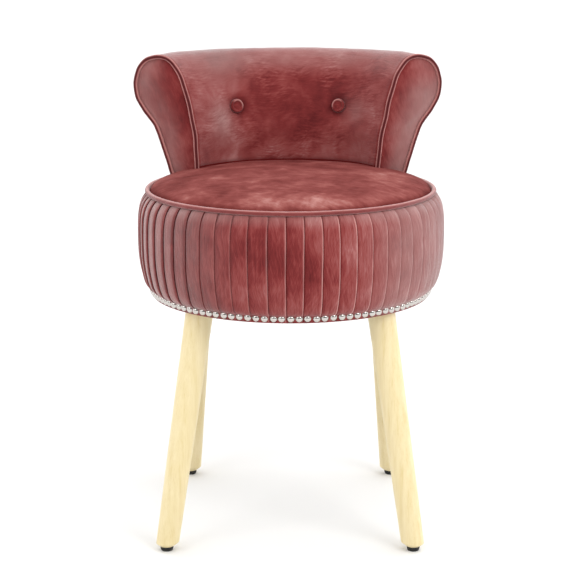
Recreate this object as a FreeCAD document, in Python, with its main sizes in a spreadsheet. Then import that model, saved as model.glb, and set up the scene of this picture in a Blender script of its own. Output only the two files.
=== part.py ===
import FreeCAD, Part
import math, os
import Sketcher

# Round upholstered vanity stool with a wrap-around scroll back.
# Millimetres, +Z up, sitter faces -Y, the back is towards +Y, floor at z = 0.
# Profiles are written as (radius, height) about the vertical axis of the drum.

V3 = FreeCAD.Vector
doc = FreeCAD.newDocument("vanity_stool")

SPEC = [
    # drum frame
    ("axis_y", -17.85), ("base_radius", 176), ("base_low", 311), ("base_thick", 15),
    ("board_radius", 173), ("board_low", 410), ("board_thick", 12),
    ("hoop_thick", 3), ("post_size", 36), ("post_reach", 152), ("leg_post_size", 42),
    # upholstery of the drum
    ("crown_high", 470), ("rim_radius", 183.5), ("rim_high", 443), ("cover_thick", 2),
    ("drum_radius", 200.8), ("drum_foot_radius", 183), ("boxing_thick", 3),
    ("piping_radius", 3), ("seat_piping_ring", 186.5), ("seat_piping_high", 444.5),
    # dome nails
    ("nail_count", 108), ("nail_head_radius", 5), ("nail_head_high", 2.6),
    ("nail_shank_radius", 0.9), ("nail_face", 183.1), ("nail_tip", 166), ("nail_high", 314),
    # underside
    ("dust_radius", 173), ("dust_low", 309), ("dust_thick", 1),
    ("staple_ring", 165), ("staple_width", 11), ("staple_wire", 0.8), ("staple_leg", 7),
    # legs
    ("front_left_foot_x", 158.8), ("front_left_lean_x", 0.144), ("front_right_foot_x", 157.5), ("front_right_lean_x", 0.142),
    ("front_foot_y", -145), ("front_lean_y", 0.120),
    ("rear_left_foot_x", 145.5), ("rear_left_lean_x", 0.069), ("rear_right_foot_x", 145), ("rear_right_lean_x", 0.067),
    ("rear_foot_y", 148), ("rear_lean_y", 0.170),
    ("leg_top_radius", 17.6), ("leg_foot_radius", 14.25), ("leg_start", 6.2), ("leg_chamfer", 4.4), ("leg_heel_radius", 9.2),
    ("leg_reach", 330), ("leg_full", 310), ("leg_bore_start", 262), ("bolt_radius", 3.95), ("bolt_bore_radius", 4),
    ("bolt_start", 266), ("bolt_end", 352), ("insert_radius", 6), ("insert_start", 334), ("insert_end", 354),
    ("glide_radius", 8.4), ("glide_nail_radius", 1.25), ("glide_nail_long", 13),
    # back
    ("back_turn", 1.8), ("back_half", 62), ("wing_thick", 6), ("wing_back", 3.05), ("rib_thick", 12), ("button_relief", 15),
    ("rail_inner", 154), ("rail_outer", 176), ("rail_high", 476),
    ("top_rail_inner", 180), ("top_rail_outer", 203), ("top_rail_low", 580), ("top_rail_high", 593),
    ("mid_rib_at", 36), ("button_at", 28.3), ("button_high", 538), ("button_radius", 9.5), ("button_face", 143.2),
    ("back_bolt_ring", 162), ("back_bolt_at", 18), ("back_bolt_at_b", 40),
    ("back_bolt_low", 408.4), ("back_bolt_high", 470), ("washer_radius", 10), ("washer_thick", 1.6),
]

sheet = doc.addObject("Spreadsheet::Sheet", "spec")
for row, (alias, value) in enumerate(SPEC, start=1):
    sheet.set("A%d" % row, alias)
    sheet.set("B%d" % row, str(value))
    sheet.setAlias("B%d" % row, alias)
doc.recompute()
S = {alias: float(getattr(sheet, alias)) for alias, value in SPEC}

AXIS = V3(0, S["axis_y"], 0)
PARTS = []          # (label, object)
REAR = 90 + S["back_turn"]


def keep(obj, label):
    obj.Label = label
    PARTS.append((label, obj))
    return obj


def number(c):
    # a coordinate is a number, an alias, or (alias, offset)
    if isinstance(c, str):
        return S[c]
    if isinstance(c, tuple):
        return S[c[0]] + c[1]
    return float(c)


def formula(c):
    if isinstance(c, str):
        return "spec." + c
    if isinstance(c, tuple):
        return "spec.%s + (%.4f)" % (c[0], c[1])
    return None


def plane(body, role):
    return [o for o in body.Origin.OriginFeatures if o.Role == role][0]


def outline(body, pts, role="XZ_Plane"):
    """Closed polygon sketch; coordinates given by alias are bound to the sheet."""
    sk = body.newObject("Sketcher::SketchObject", "outline")
    sk.AttachmentSupport = [(plane(body, role), "")]
    sk.MapMode = "FlatFace"
    xy = [(number(a), number(b)) for a, b in pts]
    n = len(xy)
    for i in range(n):
        j = (i + 1) % n
        sk.addGeometry(Part.LineSegment(V3(xy[i][0], xy[i][1], 0), V3(xy[j][0], xy[j][1], 0)))
    for i in range(n):
        sk.addConstraint(Sketcher.Constraint("Coincident", i, 2, (i + 1) % n, 1))
    for i, (a, b) in enumerate(pts):
        if abs(xy[i][0]) < 1e-9:
            sk.addConstraint(Sketcher.Constraint("PointOnObject", i, 1, -2))
        else:
            k = sk.addConstraint(Sketcher.Constraint("DistanceX", -1, 1, i, 1, xy[i][0]))
            if formula(a):
                sk.setExpression("Constraints[%d]" % k, formula(a))
        if abs(xy[i][1]) < 1e-9:
            sk.addConstraint(Sketcher.Constraint("PointOnObject", i, 1, -1))
        else:
            k = sk.addConstraint(Sketcher.Constraint("DistanceY", -1, 1, i, 1, xy[i][1]))
            if formula(b):
                sk.setExpression("Constraints[%d]" % k, formula(b))
    return sk


def turned(name, pts, angle=360.0, angle_formula=None, centred=False):
    """Polygon in the (radius, height) plane revolved about the local Z axis."""
    body = doc.addObject("PartDesign::Body", name)
    sk = outline(body, pts)
    rev = body.newObject("PartDesign::Revolution", "revolve")
    rev.Profile = sk
    rev.ReferenceAxis = (sk, ["V_Axis"])
    rev.Angle = angle
    if angle_formula:
        rev.setExpression("Angle", angle_formula)
    rev.Midplane = centred
    return body


def plate(name, pts, thick, thick_formula=None, centred=False, reverse=False, role="XZ_Plane"):
    body = doc.addObject("PartDesign::Body", name)
    sk = outline(body, pts, role)
    pad = body.newObject("PartDesign::Pad", "pad")
    pad.Profile = sk
    pad.Length = thick
    if thick_formula:
        pad.setExpression("Length", thick_formula)
    pad.Midplane = centred
    pad.Reversed = reverse
    return body


def about(angle, base=None):
    return FreeCAD.Placement(base or AXIS, FreeCAD.Rotation(V3(0, 0, 1), angle))


def cylinder(name, radius, height, placement):
    c = doc.addObject("Part::Cylinder", name)
    c.Radius = number(radius)
    if formula(radius):
        c.setExpression("Radius", formula(radius))
    c.Height = number(height)
    if formula(height):
        c.setExpression("Height", formula(height))
    c.Placement = placement
    return c


def box(name, lx, ly, lz, placement):
    b = doc.addObject("Part::Box", name)
    for key, val in (("Length", lx), ("Width", ly), ("Height", lz)):
        setattr(b, key, number(val))
        if formula(val):
            b.setExpression(key, formula(val))
    b.Placement = placement
    return b


def joined(name, objs, kind="Part::Compound"):
    o = doc.addObject(kind, name)
    if kind == "Part::Compound":
        o.Links = objs
    else:
        o.Shapes = objs
    return o


def cut(name, base, tool):
    o = doc.addObject("Part::Cut", name)
    o.Base = base
    o.Tool = tool
    return o


def at_ring(radius, angle, z):
    a = math.radians(angle)
    return V3(AXIS.x + radius * math.cos(a), AXIS.y + radius * math.sin(a), z)


# ---------------------------------------------------------------- seat surface
SEAT = [(0, S["crown_high"]), (40, 469.4), (80, 467.3), (110, 464.8), (137, 461.6), (152, 459.2),
        (166, 456.0), (176, 452.0), (181, 448.3), (S["rim_radius"], S["rim_high"])]


def seat_z(r):
    for (r0, z0), (r1, z1) in zip(SEAT, SEAT[1:]):
        if r0 <= r <= r1:
            return z0 + (z1 - z0) * (r - r0) / (r1 - r0)
    return SEAT[-1][1]


BASE_TOP = S["base_low"] + S["base_thick"]
BOARD_TOP = S["board_low"] + S["board_thick"]

# ---------------------------------------------------------------- legs: axes
LEGS = []
for side, sx in (("left", -1), ("right", 1)):
    for end in ("front", "rear"):
        foot = V3(sx * S[end + "_" + side + "_foot_x"], S[end + "_foot_y"] + S["axis_y"], 0)
        lean_y = S[end + "_lean_y"] if end == "front" else -S[end + "_lean_y"]
        up = V3(-sx * S[end + "_" + side + "_lean_x"], lean_y, 1)
        up.normalize()
        LEGS.append((end + "_" + side, foot, FreeCAD.Placement(foot, FreeCAD.Rotation(V3(0, 0, 1), up)), up))


def along(pl, dist):
    return FreeCAD.Placement(pl.multVec(V3(0, 0, dist)), pl.Rotation)


bolts, inserts, bores, insert_bores = [], [], [], []
for name, foot, pl, up in LEGS:
    # the turned taper, then its foot cut level and chamfered level, and its top cut level under the drum
    leg = turned("leg_blank_" + name, [
        (0, -14), ("leg_foot_radius", -14), ("leg_top_radius", "leg_full"),
        ("leg_top_radius", "leg_reach"), ("bolt_bore_radius", "leg_reach"), ("bolt_bore_radius", "leg_bore_start"),
        (0, "leg_bore_start")])
    leg.Placement = pl
    heel = pl.multVec(V3(0, 0, 3))
    level = FreeCAD.Placement(V3(heel.x, heel.y, 0), FreeCAD.Rotation())
    shaper = turned("leg_level_" + name, [
        (0, "leg_start"), ("leg_heel_radius", "leg_start"), (("leg_heel_radius", 5.4), ("leg_start", S["leg_chamfer"])),
        (100, 80), (100, "dust_low"), (0, "dust_low")])
    shaper.Placement = level
    trimmed = doc.addObject("Part::Common", "leg_trim_" + name)
    trimmed.Base = leg
    trimmed.Tool = shaper
    hole = cylinder("glide_hole_" + name, "glide_nail_radius", S["leg_start"] + S["glide_nail_long"], level)
    keep(cut("leg_cut_" + name, trimmed, hole), "leg_" + name)

    glide = turned("glide_blank_" + name, [
        (0, 0), (("glide_radius", -1.5), 0), (("glide_radius", -0.7), 1.0), (("glide_radius", -0.2), 3.0), ("glide_radius", "leg_start"),
        (("glide_nail_radius", -0.03), "leg_start"), (("glide_nail_radius", -0.03), ("leg_start", S["glide_nail_long"] - 2.5)),
        (0, ("leg_start", S["glide_nail_long"] - 0.2))])
    glide.Placement = level
    keep(glide, "glide_" + name)

    bolts.append(cylinder("leg_bolt_" + name, "bolt_radius", S["bolt_end"] - S["bolt_start"], along(pl, S["bolt_start"])))
    ins = doc.addObject("Part::Cut", "leg_insert_cut_" + name)
    ins.Base = cylinder("leg_insert_body_" + name, "insert_radius", S["insert_end"] - S["insert_start"], along(pl, S["insert_start"]))
    ins.Tool = cylinder("leg_insert_bore_" + name, "bolt_bore_radius", 40, along(pl, S["insert_start"] - 10))
    inserts.append(ins)
    bores.append(cylinder("leg_bore_" + name, 5.0, 120, along(pl, 250)))
    insert_bores.append(joined("leg_insert_space_" + name, [
        cylinder("leg_insert_hole_" + name, ("insert_radius", 0.02), S["insert_end"] - S["insert_start"] + 0.5, along(pl, S["insert_start"] - 0.2)),
        cylinder("leg_insert_lead_" + name, 5.0, 60, along(pl, S["insert_start"] - 40))], "Part::MultiFuse"))

keep(joined("leg_bolt_group", bolts), "leg_hanger_bolts")
keep(joined("leg_insert_group", inserts), "leg_insert_nuts")

# ---------------------------------------------------------------- nails and staples (groups)
def patterned(name, feature_body, count_alias):
    """Repeat the body's tip feature evenly about its Z axis."""
    pat = feature_body.newObject("PartDesign::PolarPattern", "pattern")
    pat.Originals = [feature_body.Tip]
    zaxis = [o for o in feature_body.Origin.OriginFeatures if o.Role == "Z_Axis"][0]
    pat.Axis = (zaxis, [""])
    pat.Angle = 360
    pat.Occurrences = int(S[count_alias])
    pat.setExpression("Occurrences", "spec." + count_alias)
    feature_body.Tip = pat
    return pat


def nail_profile():
    # domed head and tapered shank, lying along +X (radial)
    f, h, r, s = S["nail_face"], S["nail_head_high"], S["nail_head_radius"], S["nail_shank_radius"]
    pts = [(S["nail_tip"], 0), (S["nail_tip"] + 3, s), (f, s), (f, r)]
    rad = (r * r + h * h) / (2 * h)
    for k in range(1, 7):
        a = math.asin(r / rad) * (1 - k / 7.0)
        pts.append((f + h - rad + rad * math.cos(a), rad * math.sin(a)))
    pts.append((f + h, 0))
    return pts


nails = doc.addObject("PartDesign::Body", "nails_body")
nails.AllowCompound = True
nsk = nails.newObject("Sketcher::SketchObject", "nail_outline")
nsk.AttachmentSupport = [(plane(nails, "XZ_Plane"), "")]
nsk.MapMode = "FlatFace"
f, h, r, sh = S["nail_face"], S["nail_head_high"], S["nail_head_radius"], S["nail_shank_radius"]
zc = S["nail_high"]
rad = (r * r + h * h) / (2 * h)
centre = V3(f + h - rad, zc, 0)
p = [V3(S["nail_tip"], zc, 0), V3(S["nail_tip"] + 3, zc + sh, 0), V3(f, zc + sh, 0), V3(f, zc + r, 0), V3(f + h, zc, 0)]
mid = centre + V3(math.cos(math.asin(r / rad) / 2) * rad, math.sin(math.asin(r / rad) / 2) * rad, 0)
for a, b in ((0, 1), (1, 2), (2, 3)):
    nsk.addGeometry(Part.LineSegment(p[a], p[b]))
nsk.addGeometry(Part.Arc(p[3], mid, p[4]))
nsk.addGeometry(Part.LineSegment(p[4], p[0]))
k = nsk.addConstraint(Sketcher.Constraint("DistanceX", -1, 1, 2, 1, f))
nsk.setExpression("Constraints[%d]" % k, "spec.nail_face")
nrev = nails.newObject("PartDesign::Revolution", "nail")
nrev.Profile = nsk
nrev.ReferenceAxis = (nsk, ["Edge5"])
nrev.Angle = 360
nails.Tip = nrev
doc.recompute()
patterned("nails", nails, "nail_count")
nails.Placement = about(-90)
keep(nails, "nailhead_trim")

staples = []
for first, last, count in ((46.5, 133.5, 7), (151.5, 214.5, 5), (232.5, 307.5, 6), (325.5, 388.5, 5)):
    # the rows stop short of the four legs
    for q in range(count):
        ang = first + (last - first) * q / (count - 1)
        wide, wire, deep = S["staple_width"], S["staple_wire"], S["staple_leg"]
        frame_ = about(ang)
        bits = []
        for y0, z0, ly, lz, key in ((-wide / 2, -wire, "staple_width", "staple_wire", "crown"), (-wide / 2, 0, "staple_wire", "staple_leg", "leg_a"), (wide / 2 - wire, 0, "staple_wire", "staple_leg", "leg_b")):
            local = FreeCAD.Placement(V3(S["staple_ring"], y0, S["dust_low"] + z0), FreeCAD.Rotation())
            bits.append(box("staple_%s" % key, "staple_wire", ly, lz, frame_.multiply(local)))
        staples.append(joined("staple", bits, "Part::MultiFuse"))
st = joined("staple_group", staples)
keep(st, "dust_cover_staples")

# ---------------------------------------------------------------- posts inside the drum
post_tops, base_screws, seat_screws = [], [], []


def screw(name, x, y, low, high, head_low):
    """Countersunk wood screw: cone head flush with a board face, straight shank."""
    down = FreeCAD.Rotation(V3(1, 0, 0), 180)
    if head_low:
        cone = doc.addObject("Part::Cone", name + "_head")
        cone.Radius1, cone.Radius2, cone.Height = 4.0, 1.9, 3.0
        cone.Placement = FreeCAD.Placement(V3(x, y, low), FreeCAD.Rotation())
    else:
        cone = doc.addObject("Part::Cone", name + "_head")
        cone.Radius1, cone.Radius2, cone.Height = 4.0, 1.9, 3.0
        cone.Placement = FreeCAD.Placement(V3(x, y, high), down)
    shank = cylinder(name + "_shank", 1.9, high - low, FreeCAD.Placement(V3(x, y, low), FreeCAD.Rotation()))
    return joined(name, [cone, shank], "Part::MultiFuse")


posts = []
for name, ang in (("front", 270.0), ("left", 180.0), ("rear", 90.0), ("right", 0.0)):
    c = at_ring(S["post_reach"], ang, 0)
    rot = FreeCAD.Rotation(V3(0, 0, 1), ang)
    half = S["post_size"] / 2
    pl = FreeCAD.Placement(V3(c.x, c.y, BASE_TOP), rot)
    pl = pl.multiply(FreeCAD.Placement(V3(-half, -half, 0), FreeCAD.Rotation()))
    raw = box("post_" + name, "post_size", "post_size", S["board_low"] - BASE_TOP, pl)
    b1 = screw("base_screw_" + name, c.x, c.y, S["base_low"], BASE_TOP + 30, True)
    s1 = screw("board_screw_" + name, c.x, c.y, S["board_low"] - 30, BOARD_TOP, False)
    base_screws.append(b1)
    seat_screws.append(s1)
    posts.append(("side_post_" + name, raw, [b1, s1]))
for (name, foot, lpl, up), ibore in zip(LEGS, insert_bores):
    c = foot + up * ((BASE_TOP + 16) / up.z)
    ang = math.degrees(math.atan2(c.y - AXIS.y, c.x - AXIS.x))
    rot = FreeCAD.Rotation(V3(0, 0, 1), ang)
    half = S["leg_post_size"] / 2
    ring = 172.0 - half - 2.5
    c = at_ring(ring, ang, BASE_TOP)
    pl = FreeCAD.Placement(c, rot).multiply(FreeCAD.Placement(V3(-half, -half, 0), FreeCAD.Rotation()))
    raw = box("leg_post_" + name, "leg_post_size", "leg_post_size", S["board_low"] - BASE_TOP, pl)
    inner = at_ring(ring - 13, ang, 0)
    b1 = screw("base_screw_" + name, inner.x, inner.y, S["base_low"], BASE_TOP + 30, True)
    s1 = screw("board_screw_" + name, inner.x, inner.y, S["board_low"] - 30, BOARD_TOP, False)
    base_screws.append(b1)
    seat_screws.append(s1)
    posts.append(("leg_post_" + name, raw, [b1, s1, ibore]))
for label, raw, tools in posts:
    keep(cut(label + "_cut", raw, joined(label + "_tools", tools)), label)
keep(joined("base_screw_group", base_screws), "base_board_screws")
keep(joined("seat_screw_group", seat_screws), "seat_board_screws")

# ---------------------------------------------------------------- back fixings
def bolt_angles():
    out = []
    for a in (S["back_bolt_at"], S["back_bolt_at_b"]):
        out += [REAR - a, REAR + a]
    return out


back_bolts, back_washers, back_inserts, back_bolt_space, back_insert_space = [], [], [], [], []
for i, a in enumerate(bolt_angles()):
    low = at_ring(S["back_bolt_ring"], a, S["back_bolt_low"])
    up_rot = FreeCAD.Rotation()
    shank = cylinder("back_bolt_shank_%d" % i, "bolt_radius", S["back_bolt_high"] - S["back_bolt_low"], FreeCAD.Placement(low, up_rot))
    head = plate("back_bolt_head_%d" % i, [(7.5 * math.cos(math.radians(60 * q)), 7.5 * math.sin(math.radians(60 * q))) for q in range(6)], 5.3, role="XY_Plane")
    head.Placement = FreeCAD.Placement(V3(low.x, low.y, low.z - 5.3), up_rot)
    back_bolts.append(joined("back_bolt_%d" % i, [shank, head], "Part::MultiFuse"))
    wcut = doc.addObject("Part::Cut", "washer_cut_%d" % i)
    wcut.Base = cylinder("washer_body_%d" % i, "washer_radius", "washer_thick", FreeCAD.Placement(low, up_rot))
    wcut.Tool = cylinder("washer_hole_%d" % i, 4.3, 4, FreeCAD.Placement(low - V3(0, 0, 1), up_rot))
    back_washers.append(wcut)
    nut_low = V3(low.x, low.y, 458.8)
    ncut = doc.addObject("Part::Cut", "back_insert_cut_%d" % i)
    ncut.Base = cylinder("back_insert_body_%d" % i, "insert_radius", 13.2, FreeCAD.Placement(nut_low, up_rot))
    ncut.Tool = cylinder("back_insert_bore_%d" % i, "bolt_bore_radius", 20, FreeCAD.Placement(nut_low - V3(0, 0, 2), up_rot))
    back_inserts.append(ncut)
    back_bolt_space.append(cylinder("back_bolt_space_%d" % i, 4.3, 80, FreeCAD.Placement(low - V3(0, 0, 4), up_rot)))
    back_insert_space.append(joined("back_insert_space_%d" % i, [
        cylinder("back_insert_hole_%d" % i, ("insert_radius", 0.02), 13.4, FreeCAD.Placement(nut_low, up_rot)),
        cylinder("back_insert_lead_%d" % i, 4.3, 30, FreeCAD.Placement(nut_low - V3(0, 0, 20), up_rot))], "Part::MultiFuse"))
keep(joined("back_bolt_group", back_bolts), "back_bolts")
keep(joined("back_washer_group", back_washers), "back_bolt_washers")
keep(joined("back_insert_group", back_inserts), "back_insert_nuts")
bolt_space = joined("bolt_space", back_bolt_space)

# ---------------------------------------------------------------- boards, hoop
board_edge = turned("base_disc", [(0, "base_low"), ("base_radius", "base_low"), ("base_radius", ("base_low", S["base_thick"])), (0, ("base_low", S["base_thick"]))])
board_edge.Placement = about(0)
keep(cut("base_cut", board_edge, joined("base_tools", [nails, st] + bores + base_screws)), "base_board")

seat_disc = turned("seat_disc", [(0, "board_low"), ("board_radius", "board_low"), ("board_radius", ("board_low", S["board_thick"])), (0, ("board_low", S["board_thick"]))])
seat_disc.Placement = about(0)
keep(cut("seat_disc_cut", seat_disc, joined("seat_disc_tools", [bolt_space] + seat_screws)), "seat_board")

hoop = turned("hoop", [("board_radius", ("base_low", S["base_thick"])), (("board_radius", S["hoop_thick"]), ("base_low", S["base_thick"])),
                       (("board_radius", S["hoop_thick"]), ("board_low", S["board_thick"])), ("board_radius", ("board_low", S["board_thick"]))])
hoop.Placement = about(0)
keep(hoop, "side_hoop")

# ---------------------------------------------------------------- drum upholstery
foam_wall = [(190.5, 330), (193.5, 340), (195.5, 351), (197.4, 367), (("drum_radius", -3), 389), (197.3, 410), (196, 420), (192.5, 430), (187.5, 436.5)]
side_foam = turned("side_foam_body", [("base_radius", 317.2), (("drum_foot_radius", -3), 319.8), (186.2, 323)] + foam_wall +
                   [("rim_radius", ("rim_high", -5)), (("rim_radius", -2), ("rim_high", -5)), (("rim_radius", -2), ("board_low", S["board_thick"])), ("base_radius", ("board_low", S["board_thick"]))])
side_foam.Placement = about(0)
keep(side_foam, "side_foam")

boxing = turned("boxing_body", [
    (163, 310), (("drum_foot_radius", -0.6), 310), ("drum_foot_radius", 311), ("drum_foot_radius", 319.3), (189.2, 321.9), (193.5, 330), (196.5, 340), (198.5, 351),
    (200.4, 367), ("drum_radius", 389), (200.3, 410), (199, 421), (196, 431), (191.4, 438), (187.2, 441.2), ("rim_radius", ("rim_high", -2)),
    ("rim_radius", ("rim_high", -5))] + foam_wall[::-1] + [(186.2, 323), (("drum_foot_radius", -3), 319.8), ("base_radius", 317.2), ("base_radius", "base_low"), (163, "base_low")])
boxing.Placement = about(0)
keep(cut("boxing_cut", boxing, joined("boxing_tools", [nails, st])), "seat_boxing")

top = [(r, z) for r, z in SEAT]
under = [(max(r - (2.0 if r > 180 else 0.6 if r > 170 else 0), 0), z - S["cover_thick"]) for r, z in SEAT[:-1]] + [(S["rim_radius"] - 2, S["rim_high"] - 1.2)]
cover_pts = [(0, "crown_high")] + top[1:-1] + [("rim_radius", "rim_high"), ("rim_radius", ("rim_high", -5)), (("rim_radius", -2), ("rim_high", -5)), (("rim_radius", -2), ("rim_high", -1.2))] + under[1:-1][::-1] + [(0, ("crown_high", -2))]
cover = turned("seat_cover_body", cover_pts)
cover.Placement = about(0)
keep(cut("seat_cover_cut", cover, bolt_space), "seat_cover")


def cover_under(r):
    for (r0, z0), (r1, z1) in zip(under, under[1:]):
        if r0 <= r <= r1:
            return z0 + (z1 - z0) * (r - r0) / (r1 - r0)
    return under[-1][1]


supports = []
for name, lo, hi in (("right", -46, -10), ("left", 10, 46)):
    pts = [("rail_inner", ("board_low", S["board_thick"])), ("rail_outer", ("board_low", S["board_thick"])), ("rail_outer", cover_under(176) - 0.1),
           (166, cover_under(166) - 0.1), ("rail_inner", cover_under(154) - 0.1)]
    blk = turned("support_" + name, pts, hi - lo, None, True)
    blk.Placement = about(REAR + (lo + hi) / 2.0)
    supports.append(blk)
    keep(cut("support_cut_" + name, blk, bolt_space), "back_support_" + name)

foam_pts = [(0, ("board_low", S["board_thick"])), (("rim_radius", -2), ("board_low", S["board_thick"])), (("rim_radius", -2), ("rim_high", -1.2))] + under[1:-1][::-1] + [(0, ("crown_high", -2))]
sfoam = turned("seat_foam_body", foam_pts)
sfoam.Placement = about(0)
keep(cut("seat_foam_cut", sfoam, joined("seat_foam_tools", supports + [bolt_space])), "seat_foam")

ring = doc.addObject("Part::Torus", "seat_piping_ring_body")
ring.Radius1 = S["seat_piping_ring"]
ring.Radius2 = S["piping_radius"]
ring.setExpression("Radius1", "spec.seat_piping_ring")
ring.setExpression("Radius2", "spec.piping_radius")
ring.Placement = FreeCAD.Placement(V3(0, S["axis_y"], S["seat_piping_high"]), FreeCAD.Rotation())
keep(ring, "seat_piping")

dust = turned("dust_body", [(0, "dust_low"), ("dust_radius", "dust_low"), ("dust_radius", ("dust_low", S["dust_thick"])), (0, ("dust_low", S["dust_thick"]))])
dust.Placement = about(0)
keep(cut("dust_cut", dust, joined("dust_tools", [st] + bores)), "dust_cover")

# ---------------------------------------------------------------- back: profiles
SKIN = [(137, 461.7), (138, 484), (139, 505), (143, 525), (148, 549), (155, 570), (161, 586), (171, 600), (179, 607), (188, 610.5), (198, 611),
        (208.5, 609), (217.5, 605.5), (224.5, 600), (230.5, 592), (234, 583), (236, 576), (236.5, 569), (235.8, 562), (234.5, 555), (231.5, 547.5), (226.5, 540), (220.5, 532), (214, 525)]
INNER = [(139, 461.4), (140, 484), (141, 505), (145, 524.6), (150, 548.4), (156.9, 569.2), (162.7, 585), (172.3, 598.4), (180, 605.2), (188.3, 608.5), (198, 609),
         (208, 607.1), (216.5, 603.8), (223.1, 598.6), (228.8, 591), (232.1, 582.4), (234, 575.6), (234.5, 569), (233.8, 562.4), (232.6, 555.6), (229.7, 548.4), (224.9, 541.2), (219, 533.3), (212.6, 526.6)]
LINER_OUT = [(208.5, 531.8), (215.5, 541.7), (222.8, 555), (225.2, 569), (220.8, 584), (211.3, 594.6), (196, 600.2), (179, 598), (174.5, 590.5)]
LINER_IN = [(207, 533), (214, 543), (221, 556), (223, 569), (219, 583), (210, 593), (196, 598), (180, 596), (176.5, 590)]
WEB_IN = [(150.5, 460.4), (151, 480), (152, 505), (155.5, 528), (161, 552), (168, 573), (173.5, 583)]
WEB_OUT = [(153.5, 460.0), (154, 480), (155, 505), (158.5, 528), (164, 552), (171, 573), (176.5, 583)]
BACK_OUT = [(181, 449.0), (186, 466), (192, 482), (198, 498), (205, 514), (214, 525)]
BACK_MID = [(179, 450.3), (184, 466.6), (190, 482.8), (196, 498.8), (203.4, 515.4), (212, 525.9)]
BACK_IN = [(177, 451.9), (182, 467.2), (188, 483.5), (194.1, 499.5), (201.6, 516.7), (209.6, 526.9)]

TRIM = S["wing_back"] + S["wing_thick"]      # the arcs stop this far behind the radial end planes
trims = []
for side, sgn in (("left", 1), ("right", -1)):
    local = FreeCAD.Placement(V3(0, -TRIM if sgn > 0 else TRIM - 60, 400), FreeCAD.Rotation())
    trims.append(box("end_trim_" + side, 300, 60, 300, about(REAR + sgn * S["back_half"]).multiply(local)))
rib_pts = [("rail_inner", "rail_high"), (154, 480), (155, 505), (158.5, 528), (164, 552), (171, 573), (176.5, 583), (176.5, 590), (180, 596), (196, 598),
           (210, 593), (219, 583), (223, 569), (221, 556), (214, 543), (207, 533), (206.4, 526.9), (201.6, 516.7), (194.1, 499.5), (188, 483.5), (184.9, "rail_high")]
end_rib_pts = [(a if isinstance(a, str) or a < 182 else a - 1.3, b) for a, b in rib_pts]


def end_plate(name, pts, thick_alias, front, sgn):
    """Flat plate parallel to the end plane of the back, its front face 'front' mm behind that plane."""
    b = plate(name, pts, S[thick_alias], "spec." + thick_alias)
    shift = -front if sgn > 0 else front + S[thick_alias]
    b.Placement = about(REAR + sgn * S["back_half"]).multiply(FreeCAD.Placement(V3(0, shift, 0), FreeCAD.Rotation()))
    return b


end_ribs = []
for side, sgn in (("left", 1), ("right", -1)):
    end_ribs.append(keep(end_plate("end_rib_" + side, end_rib_pts, "rib_thick", TRIM, sgn), "back_end_rib_" + side))


def arc_part(name, pts, tools=(), label=None, at=REAR):
    b = turned(name, pts, 2 * S["back_half"], "2 * spec.back_half", True)
    b.Placement = about(at)
    return keep(cut(name + "_trimmed", b, joined(name + "_tools", trims + list(tools))), label)


arc_part("bottom_rail_body", [("rail_inner", seat_z(154) + 0.1), (166, seat_z(166) + 0.1), ("rail_outer", seat_z(176) + 0.1), ("rail_outer", "rail_high"), ("rail_inner", "rail_high")],
         back_insert_space, "back_bottom_rail")
top_rail = arc_part("top_rail_body", [("top_rail_inner", "top_rail_low"), ("top_rail_outer", "top_rail_low"), ("top_rail_outer", "top_rail_high"), ("top_rail_inner", "top_rail_high")],
                    end_ribs, "back_top_rail")
rib_blanks = []
for label, at in (("back_rib_left", S["mid_rib_at"]), ("back_rib_centre", 0.0), ("back_rib_right", -S["mid_rib_at"])):
    b = plate(label + "_body", rib_pts, S["rib_thick"], "spec.rib_thick", True)
    b.Placement = about(REAR + at)
    rib_blanks.append((label, b))

# buttons: covered dome on a short shank that passes the foam and the inner panel
button_space = []
buttons = []
for side, sgn in (("left", 1), ("right", -1)):
    bf = S["button_face"]
    prof = [(0, 0), (1.4, 0), (1.4, 15.5), (5.5, 15.5), (5.5, 17), (0, 17)]
    shank = turned("button_shank_" + side, [(0, 4.0), (1.4, 4.0), (1.4, 20), (7, 20), (7, 21.4), (0, 21.4)])
    disc = turned("button_disc_" + side, [(0, 0.6), (5.6, 0.5), (7.2, 0), (8.6, 0.6), ("button_radius", 2.2), (("button_radius", -0.3), 4.6), (("button_radius", -2), 5.4), (0, 5.4)])
    a = REAR + sgn * S["button_at"]
    out = V3(math.cos(math.radians(a)), math.sin(math.radians(a)), -0.19)
    out.normalize()
    pl = FreeCAD.Placement(at_ring(bf, a, S["button_high"]), FreeCAD.Rotation(V3(0, 0, 1), out))
    shank.Placement = pl
    disc.Placement = pl
    btn = joined("button_join_" + side, [shank, disc], "Part::MultiFuse")
    buttons.append(btn)
    keep(btn, "back_button_" + side)
relief = []
for side, sgn in (("left", 1), ("right", -1)):
    relief.append(cylinder("button_relief_" + side, "button_relief", 40, FreeCAD.Placement(V3(0, 0, 0), FreeCAD.Rotation())))
    a = REAR + sgn * S["button_at"]
    out = V3(math.cos(math.radians(a)), math.sin(math.radians(a)), -0.19)
    out.normalize()
    relief[-1].Placement = FreeCAD.Placement(at_ring(S["button_face"] - 6, a, S["button_high"]), FreeCAD.Rotation(V3(0, 0, 1), out))
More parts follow.
